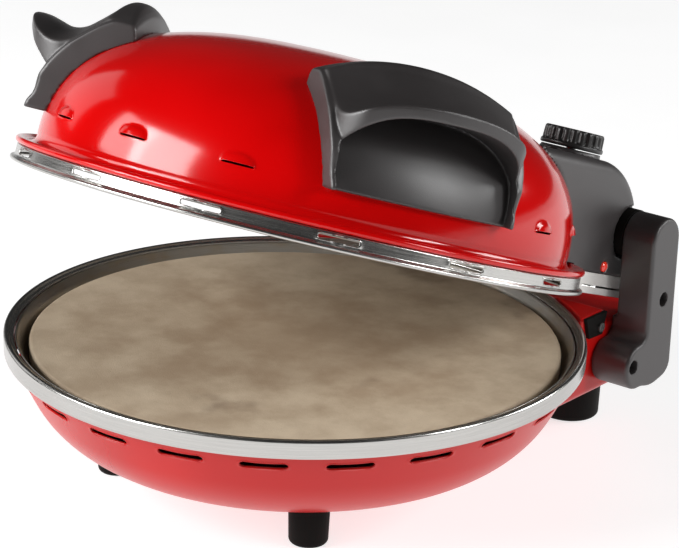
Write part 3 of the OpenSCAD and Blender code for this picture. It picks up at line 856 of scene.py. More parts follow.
@dataclass(frozen=True)
class GrainedPlastic:
    """Dark moulded plastic with a fine spark grain and a soft sheen."""

    name: str
    colour: Colour
    roughness: float
    grain: float
    grain_scale: float = 1500.0
    scuffs: float = 0.25
    shine: float = 0.5

    def make(self) -> bpy.types.Material:
        """Builds the material.

        Returns:
            The material.
        """
        net = Net(self.name)
        at = net.place()
        pits = net.cells(at, self.grain_scale)
        fine = net.noise(at, self.grain_scale * 1.7, 2.0)
        cloud = net.noise(at, 21.0, 3.0)
        scratch = net.noise(net.stretched(at, 40.0, 420.0, 40.0), 1.0, 2.0)
        light = scaled(self.colour, 1.35, 0.004)
        colour = net.mix(cloud.fade(0.3, 0.75) * 0.6 + pits.fade(0.1, 0.6) * 0.3, self.colour, light)
        colour = net.mix(scratch.fade(0.72, 0.80) * self.scuffs, colour, scaled(self.colour, 2.2, 0.02))
        net.bump(pits.fade(0.0, 0.7) + fine * 0.4, self.grain, 0.8)
        rough = cloud.fade(0.25, 0.8, self.roughness * 0.9, self.roughness * 1.12)
        return net.surface(base_color=colour, roughness=rough, specular_ior_level=self.shine)


@dataclass(frozen=True)
class BakingStone:
    """Dry fired cordierite: fine pores, flecks and a browned middle."""

    name: str = "baking_stone"

    def make(self) -> bpy.types.Material:
        """Builds the material: browning grows towards the middle, broken up by noise.

        Returns:
            The material.
        """
        net = Net(self.name)
        at = net.place()
        x, y, _ = net.axes(at)
        radius = (x * x + y * y) ** 0.5
        cloud = net.noise(at, 26.0, 5.0, 0.62)
        fleck = net.cells(at, 520.0)
        pore = net.cells(at, 900.0)
        base = net.mix(cloud.fade(0.3, 0.7), (0.46, 0.35, 0.24), (0.62, 0.50, 0.36))
        base = net.mix(fleck.fade(0.16, 0.05) * 0.5, base, (0.24, 0.16, 0.10))
        toast = (radius + (cloud - 0.5) * 0.10).fade(0.150, 0.02)
        base = net.mix(toast * 0.45, base, (0.27, 0.16, 0.08))
        stain = net.noise(at, 11.0, 4.0, 0.6).fade(0.60, 0.74)
        base = net.mix(stain * 0.5, base, (0.13, 0.08, 0.05))
        net.bump(pore.fade(0.0, 0.5) + cloud * 0.5, 0.09, 0.8)
        return net.surface(base_color=base, roughness=cloud.fade(0.2, 0.8, 0.78, 0.93))


@dataclass(frozen=True)
class HeatedSheath:
    """The oxidised steel sheath of a heating element, darker in patches."""

    name: str = "element_sheath"

    def make(self) -> bpy.types.Material:
        """Builds the material.

        Returns:
            The material.
        """
        net = Net(self.name)
        at = net.place()
        cloud = net.noise(at, 60.0, 4.0)
        scale = net.noise(at, 900.0, 2.0)
        colour = net.mix(cloud.fade(0.35, 0.7), (0.055, 0.048, 0.045), (0.16, 0.13, 0.12))
        colour = net.mix(scale.fade(0.6, 0.75) * 0.5, colour, (0.24, 0.17, 0.12))
        net.bump(scale, 0.03, 0.7)
        return net.surface(base_color=colour, metallic=0.75, roughness=cloud.fade(0.3, 0.7, 0.42, 0.62))


@dataclass(frozen=True)
class PlatedMetal:
    """Small turned or pressed metal pieces: zinc plate or brass."""

    name: str
    colour: Colour
    roughness: float

    def make(self) -> bpy.types.Material:
        """Builds the material.

        Returns:
            The material.
        """
        net = Net(self.name)
        at = net.place()
        cloud = net.noise(at, 160.0, 3.0)
        mark = net.noise(net.stretched(at, 300.0, 1800.0, 300.0), 1.0, 2.0)
        colour = net.mix(cloud.fade(0.3, 0.7), scaled(self.colour, 0.78), self.colour)
        net.bump(mark, 0.01, 0.5)
        rough = cloud.fade(0.25, 0.75, self.roughness * 0.8, self.roughness * 1.3)
        return net.surface(base_color=colour, metallic=1.0, roughness=rough)


@dataclass(frozen=True)
class Chalky:
    """Pale insulating pieces: ceramic, fibre felt, woven sleeve or rubber."""

    name: str
    colour: Colour
    shade: Colour
    scale: float
    depth: float
    roughness: float
    fibre: Colour = (1.0, 1.0, 1.0)

    def make(self) -> bpy.types.Material:
        """Builds the material: noise stretched along the fibre's direction.

        Returns:
            The material.
        """
        net = Net(self.name)
        at = net.place()
        thread = net.noise(net.stretched(at, *self.fibre), self.scale, 4.0, 0.65)
        cloud = net.noise(at, 45.0, 3.0)
        colour = net.mix(thread.fade(0.3, 0.7), self.shade, self.colour)
        colour = net.mix(cloud.fade(0.55, 0.8) * 0.3, colour, scaled(self.shade, 0.7))
        net.bump(thread, self.depth, 0.8)
        rough = cloud.fade(0.2, 0.8, self.roughness * 0.92, self.roughness)
        return net.surface(base_color=colour, roughness=rough)


@dataclass(frozen=True)
class LampLens:
    """Clear red moulding with fine ribs inside."""

    name: str = "lamp_red"

    def make(self) -> bpy.types.Material:
        """Builds the material.

        Returns:
            The material.
        """
        net = Net(self.name)
        height = net.axes(net.place(True))[2]
        cloud = net.noise(net.place(), 300.0, 2.0)
        net.bump((height * 5200.0).wave(), 0.05, 0.5)
        colour = net.mix(cloud.fade(0.3, 0.7), (0.55, 0.01, 0.01), (0.85, 0.05, 0.03))
        return net.surface(base_color=colour, roughness=cloud.fade(0.2, 0.8, 0.08, 0.16), coat_weight=1.0,
                           emission_color=(0.9, 0.05, 0.02), emission_strength=0.25)


@dataclass(frozen=True)
class KnobPlastic:
    """Black plastic of the knob, with a printed ring of plain marks on its top."""

    centre: Pair = KNOB_AT
    top_z: float = 184.0
    ring_r: float = 16.0
    ring_w: float = 1.1
    marks: int = 24
    name: str = "knob_plastic"

    def make(self) -> bpy.types.Material:
        """Builds the material: a dash is printed where the ring's width and a wave in bearing agree.

        Returns:
            The material.
        """
        net = Net(self.name)
        at = net.place(True)
        x, y, z = net.axes(at)
        dx, dy = x - self.centre[0] * MM, y - self.centre[1] * MM
        radius = (dx * dx + dy * dy) ** 0.5
        bearing = dx.bearing_to(dy)
        ring = (radius - self.ring_r * MM).size().fade(self.ring_w * MM, self.ring_w * 0.75 * MM)
        dash = (bearing * float(self.marks)).wave().fade(-0.25, 0.05)
        top = z.fade(self.top_z * MM, (self.top_z + 0.5) * MM)
        fine = net.noise(at, 2200.0, 2.0)
        cloud = net.noise(at, 90.0, 3.0)
        colour = net.mix(cloud.fade(0.3, 0.7), (0.012, 0.011, 0.011), (0.024, 0.022, 0.021))
        colour = net.mix(ring * dash * top * 0.9, colour, (0.30, 0.012, 0.010))
        net.bump(fine, 0.02, 0.7)
        rough = cloud.fade(0.25, 0.75, 0.30, 0.42)
        return net.surface(base_color=colour, roughness=rough, specular_ior_level=0.55)


def arc(r: float, z: float, radius: float, start: float, end: float, steps: int = 9) -> Array:
    """Points on a circle in the (radius, height) plane, angles in degrees."""
    a = np.radians(np.linspace(start, end, steps))
    return np.stack([r + radius * np.cos(a), z + radius * np.sin(a)], 1)


@dataclass(frozen=True)
class DomeShape:
    """The superellipse that the lid's dome is pressed to."""

    radius: float = 158.5
    height: float = 92.0
    foot_z: float = 103.2
    flat: float = 2.475
    crown: float = 2.854

    def line(self, steps: int, from_z: float) -> Array:
        """The dome's line from the height given to its top, closer at both ends.

        Args:
            steps: Points from the foot to the top.
            from_z: Points below this height are left out.

        Returns:
            Radius and height of each point.
        """
        s = np.pi / 2 * (1 - np.cos(np.linspace(0, np.pi, steps))) / 2
        r = self.radius * np.cos(s).clip(0) ** (2 / self.flat)
        z = self.foot_z + self.height * np.sin(s) ** (2 / self.crown)
        return np.stack([r, z], 1)[z >= from_z]

    def gap(self, x: Array, y: Array, z: Array) -> Array:
        """Rough distance outside the dome: the superellipse's excess over its slope.

        Args:
            x: To the right.
            y: To the back.
            z: Over the table.

        Returns:
            Signed distance.
        """
        r = np.hypot(x, y) / self.radius
        h = np.maximum(z - self.foot_z, 0) / self.height
        along = self.flat * r ** (self.flat - 1) / self.radius
        up = self.crown * h ** (self.crown - 1) / self.height
        return (r**self.flat + h**self.crown - 1) / np.maximum(np.hypot(along, up), 1e-3)


DOME = DomeShape()


# ---------------------------------------------------------------- the pieces
@dataclass
class Assembly:
    """A sub-assembly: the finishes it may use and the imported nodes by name."""

    finishes: dict[str, bpy.types.Material]
    nodes: dict[str, bpy.types.Object]

    def dress(self, piece: bpy.types.Object, slot: str, body: Body, *stands_for: str) -> None:
        """Gives a piece its finish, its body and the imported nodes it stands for.

        Args:
            piece: The piece.
            slot: The finish, whose name may start with the part that it is made for.
            body: The body it rides on.
            stands_for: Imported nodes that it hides.
        """
        piece.data.materials.clear()
        piece.data.materials.append(self.finishes[slot])
        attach(piece, body.value)
        if stands_for:
            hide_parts(*stands_for)
        count = len(piece.data.polygons)
        LOG.info("%s: %d faces, finish %s, rides on %s", piece.name, count, slot, body.value)

    def softened(self, name: str, node: str, width: float) -> bpy.types.Object:
        """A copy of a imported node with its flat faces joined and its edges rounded.

        Args:
            name: The new piece's name.
            node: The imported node.
            width: Width of the rounding in millimetres.

        Returns:
            The new object.
        """
        sharp_deg, flat_deg = 32.0, 0.6
        mesh = self.nodes[node].data.copy()
        mesh.name = name
        piece = shown(name, mesh)
        with reworked(mesh, sharp_deg) as work:
            bmesh.ops.dissolve_limit(work, angle_limit=float(np.radians(flat_deg)), verts=work.verts,
                                     edges=work.edges)
        bevel = piece.modifiers.new("edges", "BEVEL")
        bevel.width = width * MM
        bevel.segments = 3
        bevel.limit_method = "ANGLE"
        bevel.angle_limit = float(np.radians(sharp_deg))
        bevel.harden_normals = False
        bevel.use_clamp_overlap = True
        return piece


@dataclass
class BaseBowl(Assembly):
    """The red lower shell: bowl, rear extension and the two deck corners."""

    floor_z: float = 23.6
    wall_foot: Pair = (155.5, 56.8)
    wall_top: Pair = (167.0, 79.3)
    ledge_r: float = 171.2
    slot_count: int = 22
    slot_z: float = 72.0
    ext_half_w: float = 113.0
    ext_low: float = 34.0
    ext_high: float = 80.0
    ext_back: float = 212.0
    deck_half_w: float = 116.0
    deck_back: float = 157.0
    deck_z: float = 89.5

    def profile(self) -> Profile:
        """Floor, one arc, leaning wall and the ledge the rim stands on.

        Returns:
            The profile.
        """
        (foot_r, foot_z), (top_r, top_z) = self.wall_foot, self.wall_top
        lean = float(np.arctan2(top_r - foot_r, top_z - foot_z))
        radius = (foot_z - self.floor_z) / (1 - np.sin(lean))
        bend = arc(foot_r - radius * np.cos(lean), self.floor_z + radius, radius, -90, -np.degrees(lean), 30)
        floor = np.linspace((0.0, self.floor_z), bend[0], 12)[:-1]
        wall = np.linspace(bend[-1], self.wall_top, 16)[1:]
        ledge = np.array([(top_r + 0.3, 79.8), (top_r + 1.2, 80.3), (self.ledge_r, 80.4)])
        return Profile(np.vstack([floor, bend, wall, ledge]))

    def bowl(self) -> bpy.types.Object:
        """The bowl with its ring of cooling slots.

        Returns:
            The new object.
        """
        profile = self.profile()
        v = profile.length()
        mid = float(np.interp(self.slot_z, profile.points[:, 1], v))
        slots = Slots(sectors=self.slot_count, phase_deg=0.9, kept=frozenset(range(-7, 8)), v_low=mid - 5.4,
                      v_high=mid + 5.0, v_mid=mid, half_l=13.2, half_h=2.1, radius=163.6, columns=14,
                      rings=8, lip=0.35)
        rows = np.unique(np.concatenate([v, [slots.v_low, slots.v_high]]))
        return pierced("lower_bowl", profile, slots, rows, Placing.BASE, 50, 1.4)

    def extension(self) -> bpy.types.Object:
        """The box behind the bowl: a rounded tube whose front follows the bowl.

        A point goes round a rounded rectangle in x and z; its front end lies where
        the bowl's radius at that height meets its x.

        Returns:
            The new object.
        """
        corner, roll = 5.0, 2.2
        half_z = (self.ext_high - self.ext_low) / 2
        mid_z = (self.ext_high + self.ext_low) / 2
        core = np.array([self.ext_half_w - corner, half_z - corner])
        signs = ((1, 1), (-1, 1), (-1, -1), (1, -1))
        loop = []
        for k, sign in enumerate(signs):
            a = np.radians(np.linspace(0, 90, 9)) + k * np.pi / 2
            bend = core * sign + corner * np.stack([np.cos(a), np.sin(a)], 1)
            end = bend[-1] + core * signs[(k + 1) % 4] - core * sign
            loop += [bend, np.linspace(bend[-1], end, 12 if k % 2 else 26)[1:-1]]
        ring = np.vstack(loop)
        x, z = ring[:, 0], ring[:, 1] + mid_z
        arc_on = 10
        points = self.profile().points[arc_on:]
        radius = np.where(z > 79.6, 172.9, np.interp(z, points[:, 1], points[:, 0]))
        front = np.sqrt(np.maximum(radius**2 - x**2, 60.0**2))
        t = np.linspace(0, 1, 20)[:, None]
        y = front[None] * (1 - t) + (self.ext_back - roll) * t
        rows = [np.stack(np.broadcast_arrays(x[None], y, z[None]), -1)]
        inward = np.sign(ring) * (np.abs(ring) > core)
        inward = inward / np.maximum(np.linalg.norm(inward, axis=1, keepdims=True), 1)
        for a in np.radians(np.linspace(18, 90, 5)):
            flat = ring - inward * roll * (1 - np.cos(a))
            deep = np.full(len(ring), self.ext_back - roll + roll * np.sin(a))
            rows.append(np.stack([flat[:, 0], deep, flat[:, 1] + mid_z], -1)[None])
        skin = Skin()
        skin.grid(np.vstack(rows), round_v=True)
        return walled(skin.build("rear_extension", Placing.BASE, 50), 1.5)

    def deck(self, side: int, name: str) -> bpy.types.Object:
        """The raised corner between the rim and the arm on one side.

        Args:
            side: 1 for the right, -1 for the left.
            name: The side's name.

        Returns:
            The new object.
        """
        def field(x: Array, y: Array, z: Array) -> Array:
            """Outside the rim, inside the deck's edges and under its top."""
            plan = both(both(174.2 - np.hypot(x, y), y - self.deck_back, 3.0), x - self.deck_half_w, 3.0)
            return both(both(plan, z - self.deck_z, 2.0), 77.0 - z)

        return moulded(f"deck_corner_{name}", field, (78, 122, 75), (118, 159, 91), 0.9, Placing.BASE,
                       mirror(side))

    def build(self) -> None:
        """Makes and dresses the shell."""
        self.dress(self.bowl(), "red_satin_enamel", Body.BASE, "base_shell")
        self.dress(self.extension(), "red_satin_enamel", Body.BASE)
        for side, name in SIDES:
            self.dress(self.deck(side, name), "red_satin_enamel", Body.BASE)


@dataclass
class BaseTop(Assembly):
    """The bright rim, the reflector dish and the baking stone."""

    rim_r: float = 172.5
    rim_z: float = 90.0

    def rim(self) -> bpy.types.Object:
        """The band: an upright wall, a rolled lip and a return towards the dish.

        Returns:
            The new object.
        """
        r, z = self.rim_r, self.rim_z
        line = np.vstack([
            [(r - 1.3, 79.2), (r - 0.5, 79.1), (r - 0.25, 79.5), (r - 0.2, 81.0), (r - 0.05, 86.6)],
            arc(r - 1.9, z - 1.9, 1.9, 0, 150, 12),
            [(r - 4.4, z - 1.5), (r - 5.6, z - 1.9), (r - 6.2, z - 2.6), (r - 6.4, z - 6.4)],
            [(r - 5.6, z - 6.4), (r - 5.4, z - 3.2), (r - 4.6, z - 2.9), (r - 1.4, z - 3.4),
             (r - 1.2, z - 6.0)],
        ])
        return turned_piece("rim_band", Profile(line), Placing.BASE, 320, closed=True)

    def dish(self) -> bpy.types.Object:
        """The reflector dish under and round the stone.

        Returns:
            The new object.
        """
        line = Profile.through([(0, 61, 0), (60, 61, 0), (146, 61, 4), (155.8, 68.6, 6),
                                (165.0, 86.4, 0.6), (165.6, 87.0, 0)])
        return walled(turned_piece("reflector_dish", line, Placing.BASE, 240), 0.9)

    def stone(self) -> bpy.types.Object:
        """The stone disc with eased edges.

        Returns:
            The new object.
        """
        line = Profile.through([(0, 72, 0), (156.3, 72, 0), (157.5, 73.4, 1.2), (157.5, 84, 2.4),
                                (150.0, 84, 1), (0, 84, 0)])
        return turned_piece("stone_disc", line, Placing.BASE, 240)

    def build(self) -> None:
        """Makes and dresses the pieces."""
        self.dress(self.rim(), "brushed_band", Body.BASE, "base_rim_band")
        self.dress(self.dish(), "reflector_steel", Body.BASE, "lower_reflector")
        self.dress(self.stone(), "baking_stone", Body.BASE, "baking_stone")


@dataclass
class Arms(Assembly):
    """The two boot-shaped arms that carry the lid."""

    inner_x: float = 113.3
    step_x: float = 117.0
    step_z: float = 82.0
    outer_x: float = 140.0
    half_w: float = 15.0
    foot_z: float = 42.0
    fillet: float = 7.0
    edge: float = 2.2
    screws: tuple[Pair, ...] = ((155.7, 57.8), (185.0, 94.4))
    screw_r: float = 4.4
    screw_deep: float = 15.5

    def field(self, x: Array, y: Array, z: Array) -> Array:
        """Upright with a round head, joined to a forward foot by a fillet.

        Args:
            x: To the right.
            y: To the back.
            z: Over the table.

        Returns:
            Signed distance.
        """
        top = HINGE.axis_z + self.half_w
        mid = (top + self.foot_z) / 2
        corner = np.where(z > mid, self.half_w, 10.0)
        upright = round_box(y - HINGE.axis_y, z - mid, self.half_w, (top - self.foot_z) / 2, corner)
        foot_y, half_l, half_h = 169.5, 21.0, 14.2
        foot = round_box(y - foot_y, z - (self.foot_z + half_h), half_l, half_h, half_h - 0.6)
        boot = either(upright, foot, self.fillet)
        slab = np.abs(x - (self.inner_x + self.outer_x) / 2) - (self.outer_x - self.inner_x) / 2
        f = both(boot, slab, self.edge)
        f = both(f, -both(x - self.step_x, self.step_z - z, 1.0), 1.2)
        for sy, sz in self.screws:
            hole = both(np.hypot(y - sy, z - sz) - self.screw_r, self.outer_x - self.screw_deep - x)
            f = both(f, -hole, 0.5)
        return f

    def build(self) -> None:
        """Makes and dresses both arms."""
        for side, name in SIDES:
            piece = moulded(f"boot_arm_{name}", self.field, (111, 146, 39), (142, 202, 149), 1.1,
                            Placing.BASE, mirror(side))
            self.dress(piece, "dark_plastic", Body.BASE, f"arm_{name}")


@dataclass
class LidShell(Assembly):
    """The red dome with its louvres, the slotted band and the reflector inside."""

    band_r: float = 168.4
    louvre_h: float = 31.9
    louvres: frozenset[int] = frozenset((-5, -4, -1, 0, 1, 4, 5))

    def dome(self) -> bpy.types.Object:
        """Dome, fillet, flange and rolled bead, with a ring of pressed louvres.

        Returns:
            The new object.
        """
        foot = DOME.foot_z
        bead = arc(self.band_r - 0.4, foot + 1.95, 1.9, -150, 118, 16)
        corners = np.array([(163.2, foot + 1.9), (158.6, foot + 2.0), (158.15, foot + 6.6)])
        line = np.vstack([[(164.5, foot + 0.2)], bead, [(166.0, foot + 2.2)], quadratic(*corners, 8),
                          DOME.line(150, foot + 7.2)])
        profile = Profile(line)
        v = profile.length()
        plain = 26
        mid = float(np.interp(LIP_Z + self.louvre_h, line[plain:, 1], v[plain:]))
        slots = Slots(sectors=15, phase_deg=-1.0, kept=self.louvres, v_low=mid - 8, v_high=mid + 15,
                      v_mid=mid, half_l=9.0, half_h=0.55, radius=155.6, columns=20, rings=16, lip=0.12,
                      scoop=1.9, scoop_l=9.6, scoop_h=6.2)
        rows = np.unique(np.concatenate([v[:plain], v[plain::2], [slots.v_low, slots.v_high, v[-1]]]))
        return pierced("dome_cover", profile, slots, rows, Placing.LID, 55, 1.0)

    def band(self) -> bpy.types.Object:
        """The steel band: flared lip, upright wall with slots, flange.

        Returns:
            The new object.
        """
        z, r = LIP_Z, self.band_r
        line = np.vstack([
            arc(r + 1.2, z + 1.35, 1.3, 170, 430, 14),
            [(r + 0.75, z + 2.9), (r + 0.3, z + 3.3), (r + 0.1, z + 3.7)],
            np.linspace((r + 0.05, z + 4.0), (r - 0.2, z + 9.3), 6),
            [(r - 0.6, z + 9.9), (r - 1.6, z + 10.1), (161.0, z + 10.1)],
        ])
        profile = Profile(line)
        v = profile.length()
        wall = slice(14, 24)
        low, high, mid = map(float, np.interp([z + 3.65, z + 9.15, z + 6.35], line[wall, 1], v[wall]))
        slots = Slots(sectors=14, phase_deg=-6.7, kept=frozenset(range(-4, 5)), v_low=low, v_high=high,
                      v_mid=mid, half_l=11.4, half_h=2.2, radius=r, columns=24, rings=8, lip=0.55)
        rows = np.unique(np.concatenate([v, [low, high]]))
        return pierced("lid_band", profile, slots, rows, Placing.LID, 50, 0.7)

    def reflector(self) -> bpy.types.Object:
        """The polished bowl inside the lid.

        Returns:
            The new object.
        """
        inner = DomeShape(150.0, 62.0, LIP_Z + 8.9, 2.4, 2.4)
        line = np.vstack([[(164.6, LIP_Z + 8.0), (152.0, LIP_Z + 8.0), (150.6, LIP_Z + 8.3)],
                          inner.line(70, LIP_Z + 10)])
        return walled(turned_piece("lid_reflector", Profile(line), Placing.LID, 240), 0.9)

    def build(self) -> None:
        """Makes and dresses the pieces."""
        self.dress(self.dome(), "red_gloss_enamel", Body.LID, "lid_dome")
        self.dress(self.band(), "lid_brushed_band", Body.LID, "lid_rim_band")
        self.dress(self.reflector(), "lid_reflector_steel", Body.LID, "upper_reflector")


@dataclass
class Handles(Assembly):
    """The two hooded handles on the dome's flanks."""

    bearing_deg: float = 60.0
    reach: float = 177.5
    face_r: float = 119.0
    crest_r: float = 165.0
    top_r: float = 130.0
    strip: float = 12.5
    grip_half_w: float = 56.0
    grip_h: float = 47.0
    grip_power: float = 2.9
    grip_wall: float = 52.0
    grip_lean: float = 0.13
    cheek_r: float = 12.0
    foot: float = 31.0
    plate: float = 4.2
    crest_h: float = 84.0
    top_h: float = 104.6
    saddle_o: Line = (100, 105.5, 107, 108.5, 111, 113.5, 116.5, 120.1, 125.6, 134.2, 142.6, 149, 157, 166,
                      171, 174.5, 180)
    saddle_z: Line = (60, 90, 97, 99.4, 101.8, 103.6, 104.6, 104.4, 99.4, 91.7, 85.2, 82.4, 81.5, 83.8,
                      85.1, 85.4, 84.9)
    face_z: Line = (31, 34, 40, 47, 55, 63, 72, 79, 112)
    face_in: Line = (2.5, 3, 5.5, 6, 5, 3.2, 1.2, 0.1, 0)
    side_z: Line = (30, 38, 48, 58, 70, 112)
    side_t: Line = (54.5, 55.5, 57, 58.2, 59, 59)
    cheek_o: Line = (90, 125, 140, 154, 185)
    cheek_t: Line = (57, 57, 56.2, 55.2, 53.2)

    def field(self, t: Array, o: Array, z: Array) -> Array:
        """The hood: under the saddle, inside the curved face and between the cheeks.

        Args:
            t: Along the dome's edge from the handle's middle.
            o: Outwards from the dome's axis.
            z: Over the table.

        Returns:
            Signed distance.
        """
        h = z - LIP_Z
        hub = self.crest_r - self.crest_h
        before, top, after = (soft_line(o + d, self.saddle_o, self.saddle_z) for d in (-0.5, 0.0, 0.5))
        f = (np.hypot(t, h + hub) - hub - top) / np.hypot(1, after - before)
        middle = self.reach - self.face_r
        face = np.hypot(t, o - middle) - self.face_r + soft_line(h, self.face_z, self.face_in)
        cheek = np.abs(t) - soft_line(o, self.cheek_o, self.cheek_t)
        gap = DOME.gap(t, o, z)
        f = both(f, either(both(face, cheek, self.cheek_r), gap - self.strip), 1.6)
        f = both(f, face, 1.2)
        f = both(f, np.hypot(t, h + self.top_r - self.top_h) - self.top_r, 1.2)
        f = both(f, np.abs(t) - soft_line(h, self.side_z, self.side_t), 1.0)
        f = both(f, self.foot - h, 1.0)
        n, up = self.grip_power, h - self.foot
        arch = (np.abs(t) / self.grip_half_w) ** n + (np.maximum(up, 0) / self.grip_h) ** n
        arch = (arch ** (1 / n) - 1) * (self.grip_h - 3)
        arch = both(arch, np.abs(t) - (self.grip_wall + self.grip_lean * up), 3.0)
        f = both(f, -both(arch, self.plate - gap, 1.5), 1.1)
        return both(f, -gap, 0.4)

    def build(self) -> None:
        """Makes and dresses both handles."""
        c, s = np.cos(np.radians(self.bearing_deg)), np.sin(np.radians(self.bearing_deg))
        for side, name in SIDES:
            turn = np.array([[side * c, s, 0], [side * s, -c, 0], [0, 0, 1]])
            piece = moulded(f"hood_handle_{name}", self.field, (-62, 100, 121), (62, 181, 201), 1.0,
                            Placing.LID, lambda p, m=turn: p @ m, 60)
            self.dress(piece, "dark_plastic", Body.LID, f"handle_{name}")


@dataclass
class RearHousing(Assembly):
    """The dark housing behind the dome, its knob collar and its steel tray."""

    half_w: float = 112.4
    foot_z: float = 103.6
    back_y: float = 199.0
    roof_r: float = 53.0
    roof_z: float = 171.0
    side_r: float = 8.5
    wall: float = 2.6
    boss_r: float = 19.5
    boss_x: float = 104.6
    pocket_r: float = 16.7
    pocket_x: float = 107.9
    pin_r: float = 6.8
    flange_r: float = 169.7
    flange_h: float = 3.3
    knob: Pair = KNOB_AT
    knob_z: float = 173.3
    knob_bore: float = 4.8
    collar_r: float = 18.6
    skirt_r: float = 19.4
    lamp: Pair = (165.0, 108.2)
    lamp_bore: float = 3.4

    def outer(self, x: Array, y: Array, z: Array, inset: float = 0.0) -> Array:
        """A level roof that rolls over into the upright back.

        Args:
            x: To the right.
            y: To the back.
            z: Over the table.
            inset: How far the shape is drawn in.

        Returns:
            Signed distance.
        """
        roof = z - self.roof_z + inset
        back = y - self.back_y + inset
        side = np.abs(x) - self.half_w + inset
        return both(both(roof, back, self.roof_r - inset), side, max(self.side_r - inset, 0.5))

    def field(self, x: Array, y: Array, z: Array) -> Array:
        """The housing's walls, with round pockets for the arms' heads.

        Args:
            x: To the right.
            y: To the back.
            z: Over the table.

        Returns:
            Signed distance.
        """
        shell = both(self.outer(x, y, z), -self.outer(x, y, z, self.wall))
        axis = np.hypot(y - HINGE.axis_y, z - HINGE.axis_z)
        wide = np.abs(x)
        boss = both(self.outer(x, y, z), both(axis - self.boss_r, self.boss_x - wide))
        f = either(shell, boss)
        f = both(f, -both(axis - self.pocket_r, self.pocket_x - wide), 0.8)
        f = both(f, np.minimum(self.pin_r - axis, wide - 100))
        f = both(f, self.foot_z - z, 0.6)
        f = both(f, -DOME.gap(x, y, z), 0.8)
        ring = both(np.hypot(x, y) - self.flange_r, z - (self.foot_z + self.flange_h))
        f = both(f, -ring, 0.5)
        lamp = np.hypot(y - self.lamp[0], z - self.lamp[1]) - self.lamp_bore
        f = both(f, -both(lamp, 105.0 - wide), 0.3)
        knob = np.hypot(x - self.knob[0], y - self.knob[1])
        return both(f, np.minimum(self.knob_bore - knob, z - 150))

    def collar(self, x: Array, y: Array, z: Array) -> Array:
        """The collar under the knob, flared where it meets the roof.

        Args:
            x: To the right.
            y: To the back.
            z: Over the table.

        Returns:
            Signed distance.
        """
        axis = np.hypot(x - self.knob[0], y - self.knob[1])
        post = both(axis - self.collar_r, z - self.knob_z, 0.7)
        roof = self.outer(x, y, z)
        skirt = either(post, both(roof - 0.5, axis - self.skirt_r, 0.6), 1.5)
        return both(both(both(skirt, -roof), self.knob_bore - 0.2 - axis), axis - self.skirt_r)

    def build(self) -> None:
        """Makes and dresses the pieces."""
        housing = moulded("rear_hood", self.field, (-115, 25, 101), (115, 202, 195), 1.45, Placing.LID)
        self.dress(housing, "dark_plastic", Body.LID, "rear_housing")
        x, y = self.knob
        collar = moulded("knob_collar", self.collar, (x - 21, y - 21, 156), (x + 21, y + 21, 176), 0.8,
                         Placing.LID)
        self.dress(collar, "dark_plastic", Body.LID, "knob_seat")
        tray = self.softened("lid_tray", "lid_rear_tray", 0.4)
        # the tray's finish is the band's steel painted much paler: painted light standing in for the light
        # that falls on the tray
        self.dress(tray, "tray_brushed_band", Body.LID, "lid_rear_tray")


@dataclass
class Knob(Assembly):
    """The fluted thermostat knob."""

    centre: Pair = KNOB_AT
    foot_z: float = 173.8
    radius: float = 19.5
    height: float = 11.5
    flutes: int = 22

    def build(self) -> None:
        """Makes and dresses the knob: a line of radius, height and how far a flute dips in there."""
        r, h = self.radius, self.height
        line = np.array([
            (3.05, 0.1, 0), (10, 0.0, 0), (r - 1.2, 0.0, 0), (r - 0.3, 0.25, 0), (r, 0.9, 0), (r, 2.2, 0),
            (r - 0.25, 2.7, 0), (r - 0.7, 3.0, 0.2), (r - 0.7, 3.6, 1), (r - 0.75, 5.0, 1.25),
            (r - 0.85, h - 3.0, 1.25), (r - 0.95, h - 1.6, 1.1), (r - 1.3, h - 0.6, 0.8),
            (r - 1.9, h - 0.1, 0.35), (r - 2.6, h, 0.08), (r - 4.6, h + 0.05, 0), (r - 5.2, h - 0.2, 0),
            (r - 5.6, h - 0.8, 0), (r - 6.4, h - 1.0, 0), (4.0, h - 0.9, 0), (0.0, h - 0.8, 0)])
        radius, height, dip = (column[:, None] for column in line.T)
        steps = self.flutes * 16
        a = np.arange(steps) / steps * 2 * np.pi
        radius = radius - dip * (0.5 + 0.5 * np.cos(a * self.flutes)) ** 2.2
        points = np.stack([self.centre[0] + radius * np.cos(a), self.centre[1] + radius * np.sin(a),
                           self.foot_z + np.broadcast_to(height, radius.shape)], -1)
        skin = Skin()
        skin.grid(points, round_v=True)
        self.dress(skin.build("fluted_knob", Placing.LID, 50), "knob_plastic", Body.KNOB, "thermostat_knob")


@dataclass
class SmallParts(Assembly):
    """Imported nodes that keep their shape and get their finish."""

    rounded: tuple[tuple[str, str, float], ...] = (
        ("front_left_foot", "foot_front_left", 0.8), ("front_right_foot", "foot_front_right", 0.8),
        ("rear_left_foot", "foot_rear_left", 1.0), ("rear_right_foot", "foot_rear_right", 1.0),
        ("deck_clips", "corner_clips", 0.8), ("back_cover", "rear_cover", 0.6), ("gland", "cord_gland", 0.5))

    def finish_all(self, record: dict[str, object]) -> None:
        """Rounds the edges of the moulded ones and dresses the rest.

        Args:
            record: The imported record, whose subparts name each node's slot.
        """
        slots = {s["node"]: s["material_slot"] for s in record["subparts"]}
        for name, node, width in self.rounded:
            self.dress(self.softened(name, node, width), slots[node], Body.BASE, node)
        for node, piece in self.nodes.items():
            own = f"lid_{slots[node]}"
            finish = self.finishes[own if own in self.finishes and "lid" in piece["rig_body"] else slots[node]]
            piece.data.materials.clear()
            piece.data.materials.append(finish)


